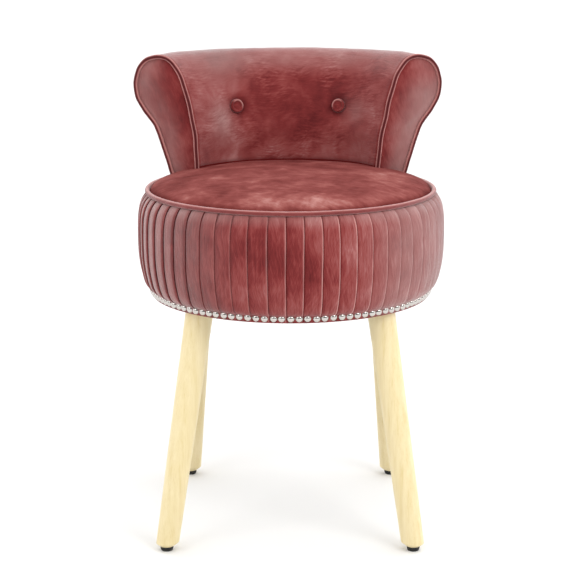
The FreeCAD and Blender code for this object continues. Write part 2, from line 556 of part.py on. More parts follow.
# the foam is relieved round each button, but only as far as the inner panel
arc_part("web_body", WEB_IN + WEB_OUT[::-1], buttons, "back_inner_panel")
roll_liner = arc_part("roll_liner_body", LINER_IN + LINER_OUT[::-1], (), "back_roll_liner")
outer_liner = arc_part("outer_liner_body", BACK_MID + BACK_IN[::-1], (), "back_outer_liner")
for label, b in rib_blanks:
    keep(cut(label + "_cut", b, joined(label + "_tools", [top_rail, roll_liner, outer_liner])), label)
arc_part("back_foam_body", INNER + LINER_OUT + [(173.5, 583)] + WEB_IN[:-1][::-1], relief, "back_foam")
arc_part("back_skin_body", SKIN + INNER[::-1], buttons, "back_inner_cover")
arc_part("back_outer_body", BACK_OUT + BACK_MID[::-1], (), "back_outer_cover")

# wing fronts: padded scroll-shaped ends, and the piping round them
wing_pts = [(137.3, 461.8)] + SKIN[1:] + BACK_OUT[::-1][1:] + [(176, seat_z(176) + 0.2), (166, seat_z(166) + 0.2), (152, seat_z(152) + 0.2)]
CORD = [(140, 465), (141, 484), (142, 504.7), (146, 524.3), (151, 548), (157.9, 568.8), (163.7, 584.2), (173, 597.4), (180.4, 604.2), (188.5, 607.4), (198, 608),
        (207.8, 606.1), (215.8, 603), (222.3, 597.8), (227.9, 590.4), (231.1, 582), (233, 575.2), (233.5, 569), (232.8, 562.7), (231.6, 556), (228.8, 549), (224.2, 542), (218.2, 534), (211.8, 527.3),
        (202.4, 515.5), (195.2, 499.1), (189.2, 483), (183.2, 467.1), (179.1, 456)]
for side, sgn in (("left", 1), ("right", -1)):
    end = about(REAR + sgn * S["back_half"])
    keep(end_plate("wing_body_" + side, wing_pts, "wing_thick", S["wing_back"], sgn), "wing_panel_" + side)
    spine = doc.addObject("Part::Feature", "cord_path_" + side)
    curve = Part.BSplineCurve()
    curve.interpolate([V3(r_, 0, z_) for r_, z_ in CORD])
    spine.Shape = Part.Wire([curve.toShape()])
    tan = curve.tangent(curve.FirstParameter)[0]
    circle = doc.addObject("Part::Circle", "cord_section_" + side)
    circle.Radius = S["piping_radius"]
    circle.setExpression("Radius", "spec.piping_radius")
    circle.Placement = FreeCAD.Placement(V3(CORD[0][0], 0, CORD[0][1]), FreeCAD.Rotation(V3(0, 0, 1), tan))
    tube = doc.addObject("Part::Sweep", "cord_" + side)
    tube.Sections = [circle]
    tube.Spine = (spine, ["Edge1"])
    tube.Solid = True
    tube.Frenet = False
    doc.recompute()
    tube.Placement = end
    keep(tube, "wing_piping_" + side)

# ---------------------------------------------------------------- check and write
doc.recompute()
bad = []
for o in doc.Objects:
    if any(s in ("Invalid", "Error") for s in o.State):
        bad.append("%s (%s): %s" % (o.Label, o.Name, o.State))
for label, o in PARTS:
    shp = o.Shape
    if shp.isNull() or not shp.isValid() or not shp.Solids or shp.Volume <= 0:
        bad.append("%s: null or invalid shape" % label)
if bad:
    raise RuntimeError("; ".join(bad))
labels = [label for label, o in PARTS]
if len(set(labels)) != len(labels):
    raise RuntimeError("labels are not unique")
os.makedirs("parts", exist_ok=True)
for label, o in PARTS:
    o.Shape.exportStep("parts/%s.step" % label)
    bb = o.Shape.BoundBox
    print("%-24s solids %3d  vol %9.1f cm3  x %.1f..%.1f  y %.1f..%.1f  z %.1f..%.1f" % (
        label, len(o.Shape.Solids), o.Shape.Volume / 1000.0, bb.XMin, bb.XMax, bb.YMin, bb.YMax, bb.ZMin, bb.ZMax))
print(len(PARTS), "parts written")
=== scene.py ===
import bpy
import math
import numpy as np
from mathutils import Matrix, Vector


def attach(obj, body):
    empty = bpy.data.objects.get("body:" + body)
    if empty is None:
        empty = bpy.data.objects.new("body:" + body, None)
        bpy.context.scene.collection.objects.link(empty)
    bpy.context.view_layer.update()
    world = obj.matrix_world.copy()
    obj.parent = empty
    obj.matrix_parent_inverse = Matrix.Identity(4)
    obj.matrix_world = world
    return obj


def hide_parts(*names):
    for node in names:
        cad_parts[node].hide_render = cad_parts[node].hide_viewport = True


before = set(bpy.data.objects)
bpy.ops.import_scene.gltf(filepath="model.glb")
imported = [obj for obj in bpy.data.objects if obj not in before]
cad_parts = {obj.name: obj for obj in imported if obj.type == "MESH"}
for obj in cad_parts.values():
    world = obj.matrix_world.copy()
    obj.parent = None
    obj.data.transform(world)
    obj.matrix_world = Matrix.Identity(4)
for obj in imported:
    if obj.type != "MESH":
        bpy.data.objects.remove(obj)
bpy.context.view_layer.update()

# ------------------------------------------------------------------ layout (metres, row frame)
AY = -0.01785                 # the drum's axis stands at x = 0, y = AY
TURN = math.radians(1.8)      # the back is turned this much on the seat
HALF = math.radians(62)       # half the sweep of the back
PITCHES = 58                  # knife pleats round the drum
RNG = np.random.default_rng(7)


# ------------------------------------------------------------------ numeric helpers
def catmull(points, n, closed=False, fine=24):
    """n points evenly spaced along a Catmull-Rom curve through the given points."""
    p = np.asarray(points, float)
    if closed:
        q = np.vstack([p[-1:], p, p[:2]])
    else:
        q = np.vstack([2 * p[:1] - p[1:2], p, 2 * p[-1:] - p[-2:-1]])
    out = []
    t = np.linspace(0, 1, fine, endpoint=False)[:, None]
    for i in range(1, len(q) - 2):
        a, b, c, d = q[i - 1], q[i], q[i + 1], q[i + 2]
        out.append(0.5 * (2 * b + (c - a) * t + (2 * a - 5 * b + 4 * c - d) * t ** 2 + (3 * b - a - 3 * c + d) * t ** 3))
    out = np.vstack(out + [q[-2][None]])
    s = np.concatenate([[0], np.cumsum(np.linalg.norm(np.diff(out, axis=0), axis=1))])
    u = np.linspace(0, s[-1], n, endpoint=not closed)
    return np.stack([np.interp(u, s, out[:, k]) for k in range(p.shape[1])], 1)


def lengths(p):
    return np.concatenate([[0], np.cumsum(np.linalg.norm(np.diff(p, axis=0), axis=1))])


_perm = np.arange(256)
np.random.default_rng(11).shuffle(_perm)
_perm = np.concatenate([_perm, _perm, _perm])
_grad = np.random.default_rng(12).normal(size=(256, 3))
_grad /= np.linalg.norm(_grad, axis=1)[:, None]


def gnoise(x, y, z=0.0):
    """Vectorised gradient noise, about -0.7..0.7."""
    x, y, z = np.broadcast_arrays(np.asarray(x, float), np.asarray(y, float), np.asarray(z, float))
    xi, yi, zi = np.floor(x).astype(int), np.floor(y).astype(int), np.floor(z).astype(int)
    xf, yf, zf = x - xi, y - yi, z - zi
    u, v, w = (t * t * t * (t * (t * 6 - 15) + 10) for t in (xf, yf, zf))

    def corner(dx, dy, dz):
        h = _perm[(_perm[(_perm[(xi + dx) & 255] + yi + dy) & 255] + zi + dz) & 255]
        g = _grad[h]
        return g[..., 0] * (xf - dx) + g[..., 1] * (yf - dy) + g[..., 2] * (zf - dz)

    def mix(a, b, t):
        return a + (b - a) * t

    x00 = mix(corner(0, 0, 0), corner(1, 0, 0), u)
    x10 = mix(corner(0, 1, 0), corner(1, 1, 0), u)
    x01 = mix(corner(0, 0, 1), corner(1, 0, 1), u)
    x11 = mix(corner(0, 1, 1), corner(1, 1, 1), u)
    return mix(mix(x00, x10, v), mix(x01, x11, v), w)


def fbm(x, y, z=0.0, octaves=3):
    total, amp, f = 0.0, 1.0, 1.0
    for _ in range(octaves):
        total = total + amp * gnoise(np.asarray(x) * f, np.asarray(y) * f, np.asarray(z) * f + 7.3 * f)
        amp *= 0.5
        f *= 2.03
    return total


def smooth(a, b, x):
    t = np.clip((np.asarray(x, float) - a) / (b - a), 0, 1)
    return t * t * (3 - 2 * t)


# ------------------------------------------------------------------ mesh builders
def make_object(name, verts, faces, uvs=None, slot="velvet", nodes=(), material=None, points=None, inner=None):
    me = bpy.data.meshes.new(name)
    me.from_pydata([tuple(v) for v in np.asarray(verts, float)], [], [tuple(int(i) for i in f) for f in faces])
    me.update()
    if uvs is not None:
        layer = me.uv_layers.new(name="nap")
        flat = np.asarray(uvs, np.float32).reshape(-1)
        layer.data.foreach_set("uv", flat)
    for key, values in (points or {}).items():
        at = me.attributes.new(key, "FLOAT", "POINT")
        at.data.foreach_set("value", np.asarray(values, np.float32).reshape(-1))
    me.polygons.foreach_set("use_smooth", [True] * len(me.polygons))
    ob = bpy.data.objects.new(name, me)
    bpy.context.scene.collection.objects.link(ob)
    if material:
        me.materials.append(material)
    if inner is not None:
        # faces deep in a fold take the shaded copy of the cloth, darker and without sheen: painted shade
        me.materials.append(inner)
        deep = np.asarray(points["crease_shade"], float).reshape(-1)
        me.polygons.foreach_set("material_index", [1 if deep[list(f)].mean() > 0.42 else 0 for f in faces])
    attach(ob, "root")
    if nodes:
        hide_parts(*nodes)
    return ob


def grid(P, UV, wrap_u=False, flip=False):
    """P is (nu, nv, 3). UV is (nu + wrap, nv, 2). Returns verts, faces and per-loop uvs."""
    nu, nv = P.shape[:2]
    faces, uvs = [], []
    last = nu if wrap_u else nu - 1
    for i in range(last):
        j = (i + 1) % nu
        for k in range(nv - 1):
            quad = [i * nv + k, j * nv + k, j * nv + k + 1, i * nv + k + 1]
            corner = [UV[i, k], UV[i + 1, k], UV[i + 1, k + 1], UV[i, k + 1]]
            if flip:
                quad.reverse()
                corner.reverse()
            faces.append(quad)
            uvs.extend(corner)
    return P.reshape(-1, 3), faces, np.asarray(uvs)


def polar(r, th, z):
    return np.stack([r * np.cos(th), AY + r * np.sin(th), z], -1)


def tube(path, radius, sides=14, closed=False, up=(0, 0, 1), wobble=0.0, seed=0.0):
    """Round tube along a path, with rotation-minimising frames."""
    path = np.asarray(path, float)
    n = len(path)
    if closed:
        tan = np.roll(path, -1, 0) - np.roll(path, 1, 0)
    else:
        tan = np.gradient(path, axis=0)
    tan /= np.linalg.norm(tan, axis=1)[:, None]
    ref = np.asarray(up, float)
    nrm = ref - tan[0] * (ref @ tan[0])
    nrm /= np.linalg.norm(nrm)
    frames = []
    for i in range(n):
        nrm = nrm - tan[i] * (nrm @ tan[i])
        nrm /= np.linalg.norm(nrm)
        frames.append((nrm, np.cross(tan[i], nrm)))
    a = np.linspace(0, 2 * math.pi, sides, endpoint=False)
    s = lengths(path)
    rad = np.broadcast_to(np.asarray(radius, float), (n,))
    P = np.zeros((n, sides, 3))
    for i, (u, v) in enumerate(frames):
        rr = rad[i] * (1 + wobble * gnoise(s[i] * 260 + seed, np.cos(a) * 1.3, np.sin(a) * 1.3))
        P[i] = path[i] + (np.cos(a) * rr)[:, None] * u + (np.sin(a) * rr)[:, None] * v
    return P, s, rad


def tube_object(name, path, radius, sides=14, closed=False, cap=True, wobble=0.0, seed=0.0, facing_sheen=None, **kw):
    """facing_sheen(points, normals) paints the sheen of a cord: deep in colour where the cord faces the front, pale on
    the flanks that the front sees at a grazing angle.
    """
    P, s, rad = tube(path, radius, sides, closed, wobble=wobble, seed=seed)
    n = len(P)
    if facing_sheen is not None:
        axis = P.mean(1, keepdims=True)
        nrm = P - axis
        nrm /= np.linalg.norm(nrm, axis=2)[..., None]
        k = facing_sheen(axis, nrm)
        # painted sheen on the cord: deep tone where it faces the front, a pale crest highlight on the flanks
        tone = (0.85 - 1.85 * k).reshape(-1)
        extra = 2 if (cap and not closed) else 0
        kw["points"] = {"tone": np.concatenate([tone, np.zeros(extra)]), "crest_highlight": np.concatenate([0.38 * (1 - k).reshape(-1) ** 1.5, np.zeros(extra)])}
    total = s[-1] + (np.linalg.norm(P[0].mean(0) - P[-1].mean(0)) if closed else 0)
    faces, uvs = [], []
    girth = 2 * math.pi * float(np.mean(rad))
    for i in range(n if closed else n - 1):
        j = (i + 1) % n
        s1 = total if (closed and i == n - 1) else s[j]
        for k in range(sides):
            m = (k + 1) % sides
            faces.append([i * sides + k, i * sides + m, j * sides + m, j * sides + k])
            uvs.extend([(s[i], girth * k / sides), (s[i], girth * (k + 1) / sides), (s1, girth * (k + 1) / sides), (s1, girth * k / sides)])
    verts = P.reshape(-1, 3)
    if cap and not closed:
        extra = [P[0].mean(0), P[-1].mean(0)]
        verts = np.vstack([verts, extra])
        a, b = len(verts) - 2, len(verts) - 1
        for k in range(sides):
            m = (k + 1) % sides
            faces.append([a, m, k])
            uvs.extend([(s[0], 0)] * 3)
            faces.append([b, (n - 1) * sides + k, (n - 1) * sides + m])
            uvs.extend([(s[-1], 0)] * 3)
    return make_object(name, verts, faces, uvs, **kw)


# ------------------------------------------------------------------ materials
def lin(hexcol):
    c = [int(hexcol[i:i + 2], 16) / 255 for i in (1, 3, 5)]
    return tuple(((v + 0.055) / 1.055) ** 2.4 if v > 0.04045 else v / 12.92 for v in c) + (1.0,)


class Nodes:
    """A short way to write node trees."""

    def __init__(self, name):
        self.mat = bpy.data.materials.new(name)
        self.mat.use_nodes = True
        self.nt = self.mat.node_tree
        self.nt.nodes.clear()

    def add(self, kind, inputs=None, **attrs):
        n = self.nt.nodes.new(kind)
        for k, v in attrs.items():
            setattr(n, k, v)
        for k, v in (inputs or {}).items():
            sock = n.inputs[k]
            if isinstance(v, bpy.types.NodeSocket):
                self.nt.links.new(v, sock)
            else:
                sock.default_value = v
        return n

    def math(self, op, a, b=0.0, c=None, clamp=False):
        ins = {0: a, 1: b}
        if c is not None:
            ins[2] = c
        return self.add("ShaderNodeMath", ins, operation=op, use_clamp=clamp).outputs[0]

    def vmath(self, op, a, b=(0, 0, 0)):
        return self.add("ShaderNodeVectorMath", {0: a, 1: b}, operation=op).outputs[0]

    def ramp(self, fac, stops, interpolation="LINEAR"):
        n = self.add("ShaderNodeValToRGB", {"Fac": fac})
        cr = n.color_ramp
        cr.interpolation = interpolation
        while len(cr.elements) < len(stops):
            cr.elements.new(0.5)
        for e, (pos, col) in zip(cr.elements, stops):
            e.position = pos
            e.color = col
        return n.outputs["Color"]

    def mix(self, fac, a, b, blend="MIX"):
        n = self.add("ShaderNodeMix", data_type="RGBA", blend_type=blend)
        for k, v in ((0, fac), (6, a), (7, b)):
            if isinstance(v, bpy.types.NodeSocket):
                self.nt.links.new(v, n.inputs[k])
            else:
                n.inputs[k].default_value = v
        return n.outputs[2]

    def noise(self, vec, scale, detail=3.0, rough=0.55, distortion=0.0, dims="3D", lac=2.0):
        n = self.add("ShaderNodeTexNoise", {"Scale": scale, "Detail": detail, "Roughness": rough, "Distortion": distortion, "Lacunarity": lac}, noise_dimensions=dims)
        if vec is not None:
            self.nt.links.new(vec, n.inputs["Vector"])
        return n.outputs["Fac"]

    def out(self, shader):
        self.add("ShaderNodeOutputMaterial", {"Surface": shader})
        return self.mat


def grey(v):
    return (v, v, v, 1.0)


def velvet(name, seed, stops, stroke=(26, 260), lean=0.0, streaky=0.5, cloudy=0.5, sheen=0.9, sheen_rough=0.42, tint="#ffffff", per_strip=False, relief=0.0016, wander=0.022, gated=False):
    """Brushed velvet. The pile lies in strokes, which shift its colour; the pale haze across the nap is the shader's
    sheen.

    Point attributes: tone (-1 deep .. 1 pale), crease_shade (0..1, painted shade inside a fold), crest_highlight (0..1,
    painted highlight on the edge of a fold), painted_sheen (0..1, painted sheen: paler and greyer where the front sees
    the velvet at a grazing angle).
    """
    t = Nodes(name)
    uv = t.add("ShaderNodeUVMap", uv_map="nap").outputs[0]
    obj = t.add("ShaderNodeTexCoord").outputs["Object"]
    tone = t.add("ShaderNodeAttribute", attribute_name="tone").outputs["Fac"]
    crease_shade = t.add("ShaderNodeAttribute", attribute_name="crease_shade").outputs["Fac"]
    crest_highlight = t.add("ShaderNodeAttribute", attribute_name="crest_highlight").outputs["Fac"]
    painted_sheen = t.add("ShaderNodeAttribute", attribute_name="painted_sheen").outputs["Fac"]
    base = t.vmath("ADD", uv, (seed * 3.17, seed * 1.93, seed * 0.71))
    if per_strip:
        strip = t.add("ShaderNodeAttribute", attribute_name="strip").outputs["Fac"]
        step = t.add("ShaderNodeCombineXYZ", {0: t.math("MULTIPLY", strip, 0.37), 1: t.math("MULTIPLY", strip, 0.913), 2: t.math("MULTIPLY", strip, 0.61)}).outputs[0]
        base = t.vmath("ADD", base, step)
    # the strokes wander a little
    warp = t.add("ShaderNodeTexNoise", {"Vector": base, "Scale": 13.0, "Detail": 1.5, "Roughness": 0.5}, noise_dimensions="3D")
    wv = t.add("ShaderNodeVectorMath", {0: t.vmath("SUBTRACT", warp.outputs["Color"], (0.5, 0.5, 0.5)), "Scale": wander}, operation="SCALE").outputs[0]
    bent = t.add("ShaderNodeMapping", {"Vector": t.vmath("ADD", base, wv), "Rotation": (0, 0, lean)}).outputs[0]
    long_ = t.noise(t.vmath("MULTIPLY", bent, (stroke[0], stroke[1], 1.0)), 1.0, 3.5, 0.6)
    fine = t.noise(t.vmath("MULTIPLY", bent, (stroke[0] * 3.2, stroke[1] * 3.0, 1.0)), 1.0, 2.0, 0.55)
    cross = t.add("ShaderNodeMapping", {"Vector": t.vmath("ADD", base, wv), "Rotation": (0, 0, lean + 0.5)}).outputs[0]
    cross = t.noise(t.vmath("MULTIPLY", cross, (stroke[0] * 1.7, stroke[1] * 0.7, 1.0)), 1.0, 3.0, 0.6)
    clouds = t.noise(t.vmath("ADD", base, wv), 17.0, 3.0, 0.55, 0.5)
    patch = t.noise(t.vmath("ADD", base, wv), 46.0, 2.5, 0.55, 0.4)
    pile = t.noise(obj, 2100.0, 1.5, 0.6)

    def part(v, k):
        return t.math("MULTIPLY", t.math("SUBTRACT", v, 0.5), k)

    f = t.math("ADD", part(long_, 0.85 * streaky), part(fine, 0.45 * streaky))
    f = t.math("ADD", f, part(cross, 0.42 * streaky))
    if gated:
        # the strokes show in some places and fade in others
        gate = t.ramp(t.noise(t.vmath("ADD", base, (0.31, 0.17, 0.05)), 24.0, 2.0, 0.5, 0.6), [(0.42, grey(0.12)), (0.66, grey(1.0))])
        f = t.math("MULTIPLY", f, t.math("MULTIPLY", gate, 1.75))
    f = t.math("ADD", f, part(clouds, 1.15 * cloudy))
    f = t.math("ADD", f, part(patch, 0.75 * cloudy))
    f = t.math("ADD", f, part(pile, 0.16))
    f = t.math("ADD", f, t.math("MULTIPLY", tone, 0.5))
    f = t.math("ADD", f, 0.5, clamp=True)
    col = t.ramp(f, [(p_, lin(c)) for p_, c in stops])
    # painted light mixed into the colour: painted sheen greys it, painted highlight pales fold edges, painted shade
    # darkens folds
    col = t.mix(painted_sheen, col, lin("#9d827f"))
    col = t.mix(crest_highlight, col, lin("#c28a85"))
    col = t.mix(crease_shade, col, lin("#641416"))
    height = t.math("ADD", t.math("MULTIPLY", long_, 0.6), t.math("ADD", t.math("MULTIPLY", patch, 0.8), t.math("MULTIPLY", clouds, 0.8)))
    n1 = t.add("ShaderNodeBump", {"Strength": 1.0, "Distance": relief, "Height": height}).outputs[0]
    n2 = t.add("ShaderNodeBump", {"Strength": 0.35, "Distance": 0.0005, "Height": t.math("ADD", pile, t.math("MULTIPLY", fine, 1.5)), "Normal": n1}).outputs[0]
    p = t.add("ShaderNodeBsdfPrincipled", {
        "Base Color": col, "Roughness": 0.92, "Specular IOR Level": 0.12, "Normal": n2,
        "Sheen Weight": sheen, "Sheen Roughness": sheen_rough, "Sheen Tint": lin(tint)})
    return t.out(p.outputs[0])


def wood(name, light="#eedeb4", mid="#e8d6a6", dark="#dec98f", scale=1.0, along="Z", rough=0.42, coat=0.15):
    t = Nodes(name)
    obj = t.add("ShaderNodeTexCoord").outputs["Object"]
    squeeze = {"Z": (1.0, 1.0, 0.07), "X": (0.07, 1.0, 1.0), "Y": (1.0, 0.07, 1.0)}[along]
    v = t.vmath("MULTIPLY", obj, squeeze)
    warp = t.add("ShaderNodeTexNoise", {"Scale": 14.0 * scale, "Detail": 2.0}, noise_dimensions="3D")
    t.nt.links.new(v, warp.inputs["Vector"])
    wv = t.add("ShaderNodeVectorMath", {0: t.vmath("SUBTRACT", warp.outputs["Color"], (0.5, 0.5, 0.5)), "Scale": 0.02}, operation="SCALE").outputs[0]
    v2 = t.vmath("ADD", v, wv)
    bands = t.noise(v2, 160.0 * scale, 3.0, 0.6)
    fine = t.noise(t.vmath("MULTIPLY", obj, tuple(900 * s if s == 1.0 else 30 for s in squeeze)), 1.0, 2.0, 0.6)
    pores = t.noise(t.vmath("MULTIPLY", obj, tuple(1500 * s if s == 1.0 else 60 for s in squeeze)), 1.0, 0.0, 0.5)
    g = t.math("ADD", t.math("MULTIPLY", bands, 0.75), t.math("MULTIPLY", fine, 0.35))
    col = t.ramp(g, [(0.30, lin(dark)), (0.52, lin(mid)), (0.75, lin(light))])
    pore = t.ramp(pores, [(0.63, grey(0.0)), (0.72, grey(1.0))])
    col = t.mix(t.math("MULTIPLY", pore, 0.10), col, lin("#c09a5a"))
    bump = t.add("ShaderNodeBump", {"Strength": 0.12, "Distance": 0.0004, "Height": t.math("SUBTRACT", fine, t.math("MULTIPLY", pore, 0.4))}).outputs[0]
    r = t.math("ADD", rough, t.math("MULTIPLY", t.math("SUBTRACT", fine, 0.5), 0.18))
    p = t.add("ShaderNodeBsdfPrincipled", {"Base Color": col, "Roughness": r, "Specular IOR Level": 0.45, "Coat Weight": coat, "Coat Roughness": 0.25, "Normal": bump})
    return t.out(p.outputs[0])


def plywood(name, face="#dcc194", band="#b8925c", axis=2, ply=0.0014):
    """Veneer faces with thin layers on the edges."""
    t = Nodes(name)
    obj = t.add("ShaderNodeTexCoord").outputs["Object"]
    sep = t.add("ShaderNodeSeparateXYZ", {0: obj})
    geo = t.add("ShaderNodeNewGeometry")
    nsep = t.add("ShaderNodeSeparateXYZ", {0: geo.outputs["Normal"]})
    side = t.math("SUBTRACT", 1.0, t.math("ABSOLUTE", nsep.outputs[axis]))
    side = t.math("GREATER_THAN", side, 0.3)
    layers = t.math("FRACT", t.math("MULTIPLY", sep.outputs[axis], 1.0 / (2 * ply)))
    layers = t.math("GREATER_THAN", layers, 0.5)
    grain = t.noise(t.vmath("MULTIPLY", obj, (18, 260, 260) if axis != 0 else (260, 18, 260)), 1.0, 3.0, 0.6)
    col = t.ramp(grain, [(0.3, lin("#cfae7c")), (0.6, lin(face)), (0.8, lin("#e6d0a6"))])
    col = t.mix(t.math("MULTIPLY", t.math("MULTIPLY", side, layers), 0.8), col, lin(band))
    bump = t.add("ShaderNodeBump", {"Strength": 0.3, "Distance": 0.0005, "Height": grain}).outputs[0]
    p = t.add("ShaderNodeBsdfPrincipled", {"Base Color": col, "Roughness": 0.7, "Normal": bump})
    return t.out(p.outputs[0])


def metal(name, colour="#d9d6d3", rough=0.16, spread=0.12, scale=900.0):
    t = Nodes(name)
    obj = t.add("ShaderNodeTexCoord").outputs["Object"]
    n = t.noise(obj, scale, 2.0, 0.55)
    broad = t.noise(obj, 140.0, 2.0, 0.5)
    col = t.mix(t.math("MULTIPLY", broad, 0.35), lin(colour), lin("#b3aca8"))
    r = t.math("ADD", rough, t.math("MULTIPLY", n, spread))
    bump = t.add("ShaderNodeBump", {"Strength": 0.05, "Distance": 0.0003, "Height": n}).outputs[0]
    p = t.add("ShaderNodeBsdfPrincipled", {"Base Color": col, "Metallic": 1.0, "Roughness": r, "Normal": bump})
    return t.out(p.outputs[0])


def plastic(name, colour="#0c0c0d", rough=0.45):
    t = Nodes(name)
    obj = t.add("ShaderNodeTexCoord").outputs["Object"]
    n = t.noise(obj, 2600.0, 2.0, 0.6)
    scuff = t.noise(obj, 260.0, 3.0, 0.6, 0.4)
    col = t.mix(t.ramp(scuff, [(0.55, grey(0.0)), (0.8, grey(0.5))]), lin(colour), lin("#2a2927"))
    r = t.math("ADD", rough, t.math("MULTIPLY", scuff, 0.2))
    bump = t.add("ShaderNodeBump", {"Strength": 0.2, "Distance": 0.0002, "Height": n}).outputs[0]
    p = t.add("ShaderNodeBsdfPrincipled", {"Base Color": col, "Roughness": r, "Normal": bump})
    return t.out(p.outputs[0])


def nonwoven(name):
    t = Nodes(name)
    obj = t.add("ShaderNodeTexCoord").outputs["Object"]
    fib = t.noise(t.vmath("MULTIPLY", obj, (900, 2600, 400)), 1.0, 3.0, 0.7)
    fib2 = t.noise(t.vmath("MULTIPLY", obj, (2600, 800, 400)), 1.0, 3.0, 0.7)
    dots = t.add("ShaderNodeTexVoronoi", {"Scale": 900.0, "Randomness": 0.12}, feature="F1")
    t.nt.links.new(obj, dots.inputs["Vector"])
    dimple = t.ramp(dots.outputs["Distance"], [(0.18, grey(0.0)), (0.34, grey(1.0))])
    h = t.math("ADD", t.math("MULTIPLY", fib, 0.5), t.math("MULTIPLY", fib2, 0.5))
    col = t.ramp(h, [(0.3, lin("#131314")), (0.7, lin("#2b2b2e"))])
    col = t.mix(t.math("MULTIPLY", t.math("SUBTRACT", 1.0, dimple), 0.6), col, lin("#0b0b0c"))
    bump = t.add("ShaderNodeBump", {"Strength": 0.6, "Distance": 0.0003, "Height": t.math("ADD", h, dimple)}).outputs[0]
    p = t.add("ShaderNodeBsdfPrincipled", {"Base Color": col, "Roughness": 0.85, "Sheen Weight": 0.15, "Normal": bump})
    return t.out(p.outputs[0])


def foam(name):
    t = Nodes(name)
    obj = t.add("ShaderNodeTexCoord").outputs["Object"]
    v = t.add("ShaderNodeTexVoronoi", {"Scale": 700.0}, feature="F1")
    t.nt.links.new(obj, v.inputs["Vector"])
    col = t.ramp(v.outputs["Distance"], [(0.1, lin("#cdbf8c")), (0.5, lin("#f0e7c2"))])
    bump = t.add("ShaderNodeBump", {"Strength": 0.6, "Distance": 0.0006, "Height": v.outputs["Distance"]}).outputs[0]
    p = t.add("ShaderNodeBsdfPrincipled", {"Base Color": col, "Roughness": 0.95, "Normal": bump})
    return t.out(p.outputs[0])


def board(name, a="#7b5a3a", b="#5f4329"):
    t = Nodes(name)
    obj = t.add("ShaderNodeTexCoord").outputs["Object"]
    n = t.noise(obj, 700.0, 3.0, 0.7)
    col = t.ramp(n, [(0.3, lin(b)), (0.7, lin(a))])
    bump = t.add("ShaderNodeBump", {"Strength": 0.3, "Distance": 0.0004, "Height": n}).outputs[0]
    p = t.add("ShaderNodeBsdfPrincipled", {"Base Color": col, "Roughness": 0.8, "Normal": bump})
    return t.out(p.outputs[0])


ROSE = [(0.0, "#5f1b1d"), (0.28, "#782a2a"), (0.5, "#8a3e3c"), (0.72, "#965250"), (1.0, "#ad7471")]
SEAT_ROSE = [(0.0, "#5d2423"), (0.28, "#733431"), (0.5, "#82403d"), (0.72, "#95544f"), (1.0, "#b57f79")]
CORD_ROSE = [(0.0, "#4f191b"), (0.3, "#692829"), (0.6, "#8c4947"), (1.0, "#b37a76")]
M_SEAT = velvet("velvet_seat", 1.0, SEAT_ROSE, (70, 190), 0.35, 0.5, 0.9, sheen=0.0)
M_BAND = velvet("velvet_band", 2.0, ROSE, (460, 36), -0.10, 0.95, 0.60, sheen=0.55, relief=0.0011, per_strip=True)
M_BACK = velvet("velvet_back", 3.0, ROSE, (48, 380), 0.05, 0.80, 0.80, sheen=0.7, relief=0.0007, wander=0.034, gated=True)
M_OUT = velvet("velvet_outside", 4.0, ROSE, (40, 200), 1.3, 0.4, 0.5)
M_WING_L = velvet("velvet_wing_left", 5.0, ROSE, (240, 50), 0.35, 0.45, 0.7, sheen=0.4, relief=0.0009, wander=0.03)
M_WING_R = velvet("velvet_wing_right", 6.0, ROSE, (240, 50), -0.30, 0.50, 0.7, sheen=0.4, relief=0.0009, wander=0.03)
M_CORD = velvet("velvet_cord", 7.0, CORD_ROSE, (90, 600), 0.0, 0.3, 0.3, sheen=0.15, sheen_rough=0.5)
M_RIM = velvet("velvet_rim", 7.5, ROSE, (90, 600), 0.0, 0.4, 0.4, sheen=0.45, sheen_rough=0.5)
# shaded copy of the velvet for painted shade in folds: darker ramp and no sheen
M_FOLD_SHADE = velvet("velvet_fold_shade", 9.0, [(0.0, "#5a1010"), (0.5, "#701a1a"), (1.0, "#8a2e2e")], (120, 60), 0.0, 0.2, 0.3, sheen=0.0)
M_BUTTON = velvet("velvet_button", 8.0, ROSE, (90, 260), 0.3, 0.5, 0.4, sheen=0.35)
M_LEG = wood("leg_wood")
M_BLOCK = wood("block_wood", "#e2c798", "#d4b47f", "#bf9a62", rough=0.65, coat=0.0)
M_PLY = plywood("plywood_flat")
M_RIB = plywood("plywood_rib", axis=0)
M_NAIL = metal("nickel", "#cbc6c1", 0.09, 0.08)
M_ZINC = metal("zinc_steel", "#c9ccd0", 0.32, 0.15)
M_GLIDE = plastic("glide_plastic")
M_DUST = nonwoven("nonwoven")
M_FOAM = foam("foam")
M_HARD = board("hardboard")
M_CARD = board("liner_board", "#b39a76", "#94795a")

# carried-over CAD nodes keep their shape and take a node material
for name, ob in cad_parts.items():
    if name.startswith(("leg_front", "leg_rear")):
        mat = M_LEG
    elif name.startswith("glide"):
        mat = M_GLIDE
    elif name in ("base_board", "seat_board", "back_top_rail", "back_bottom_rail", "back_inner_panel"):
        mat = M_PLY
    elif name.startswith(("back_rib", "back_end_rib")):
        mat = M_RIB
    elif name.startswith(("side_post", "leg_post", "back_support")):
        mat = M_BLOCK
    elif name == "side_hoop":
        mat = M_HARD
    elif name in ("back_roll_liner", "back_outer_liner"):
        mat = M_CARD
    elif name in ("seat_foam", "side_foam", "back_foam"):
        mat = M_FOAM
    elif name == "nailhead_trim":
        mat = M_NAIL
    elif name == "dust_cover":
        mat = M_DUST
    elif name in ("seat_cover", "seat_boxing", "seat_piping", "back_inner_cover", "back_outer_cover") or name.startswith(("wing_", "back_button")):
        mat = M_BACK
    else:
        mat = M_ZINC
    ob.data.materials.clear()
    ob.data.materials.append(mat)
    if name.startswith(("leg_front", "leg_rear", "glide")):
        mod = ob.modifiers.new("edges", "BEVEL")
        mod.width = 0.0009 if name.startswith("leg") else 0.0005
        mod.segments = 3
        mod.limit_method = "ANGLE"
        mod.angle_limit = math.radians(28)
        mod.harden_normals = False

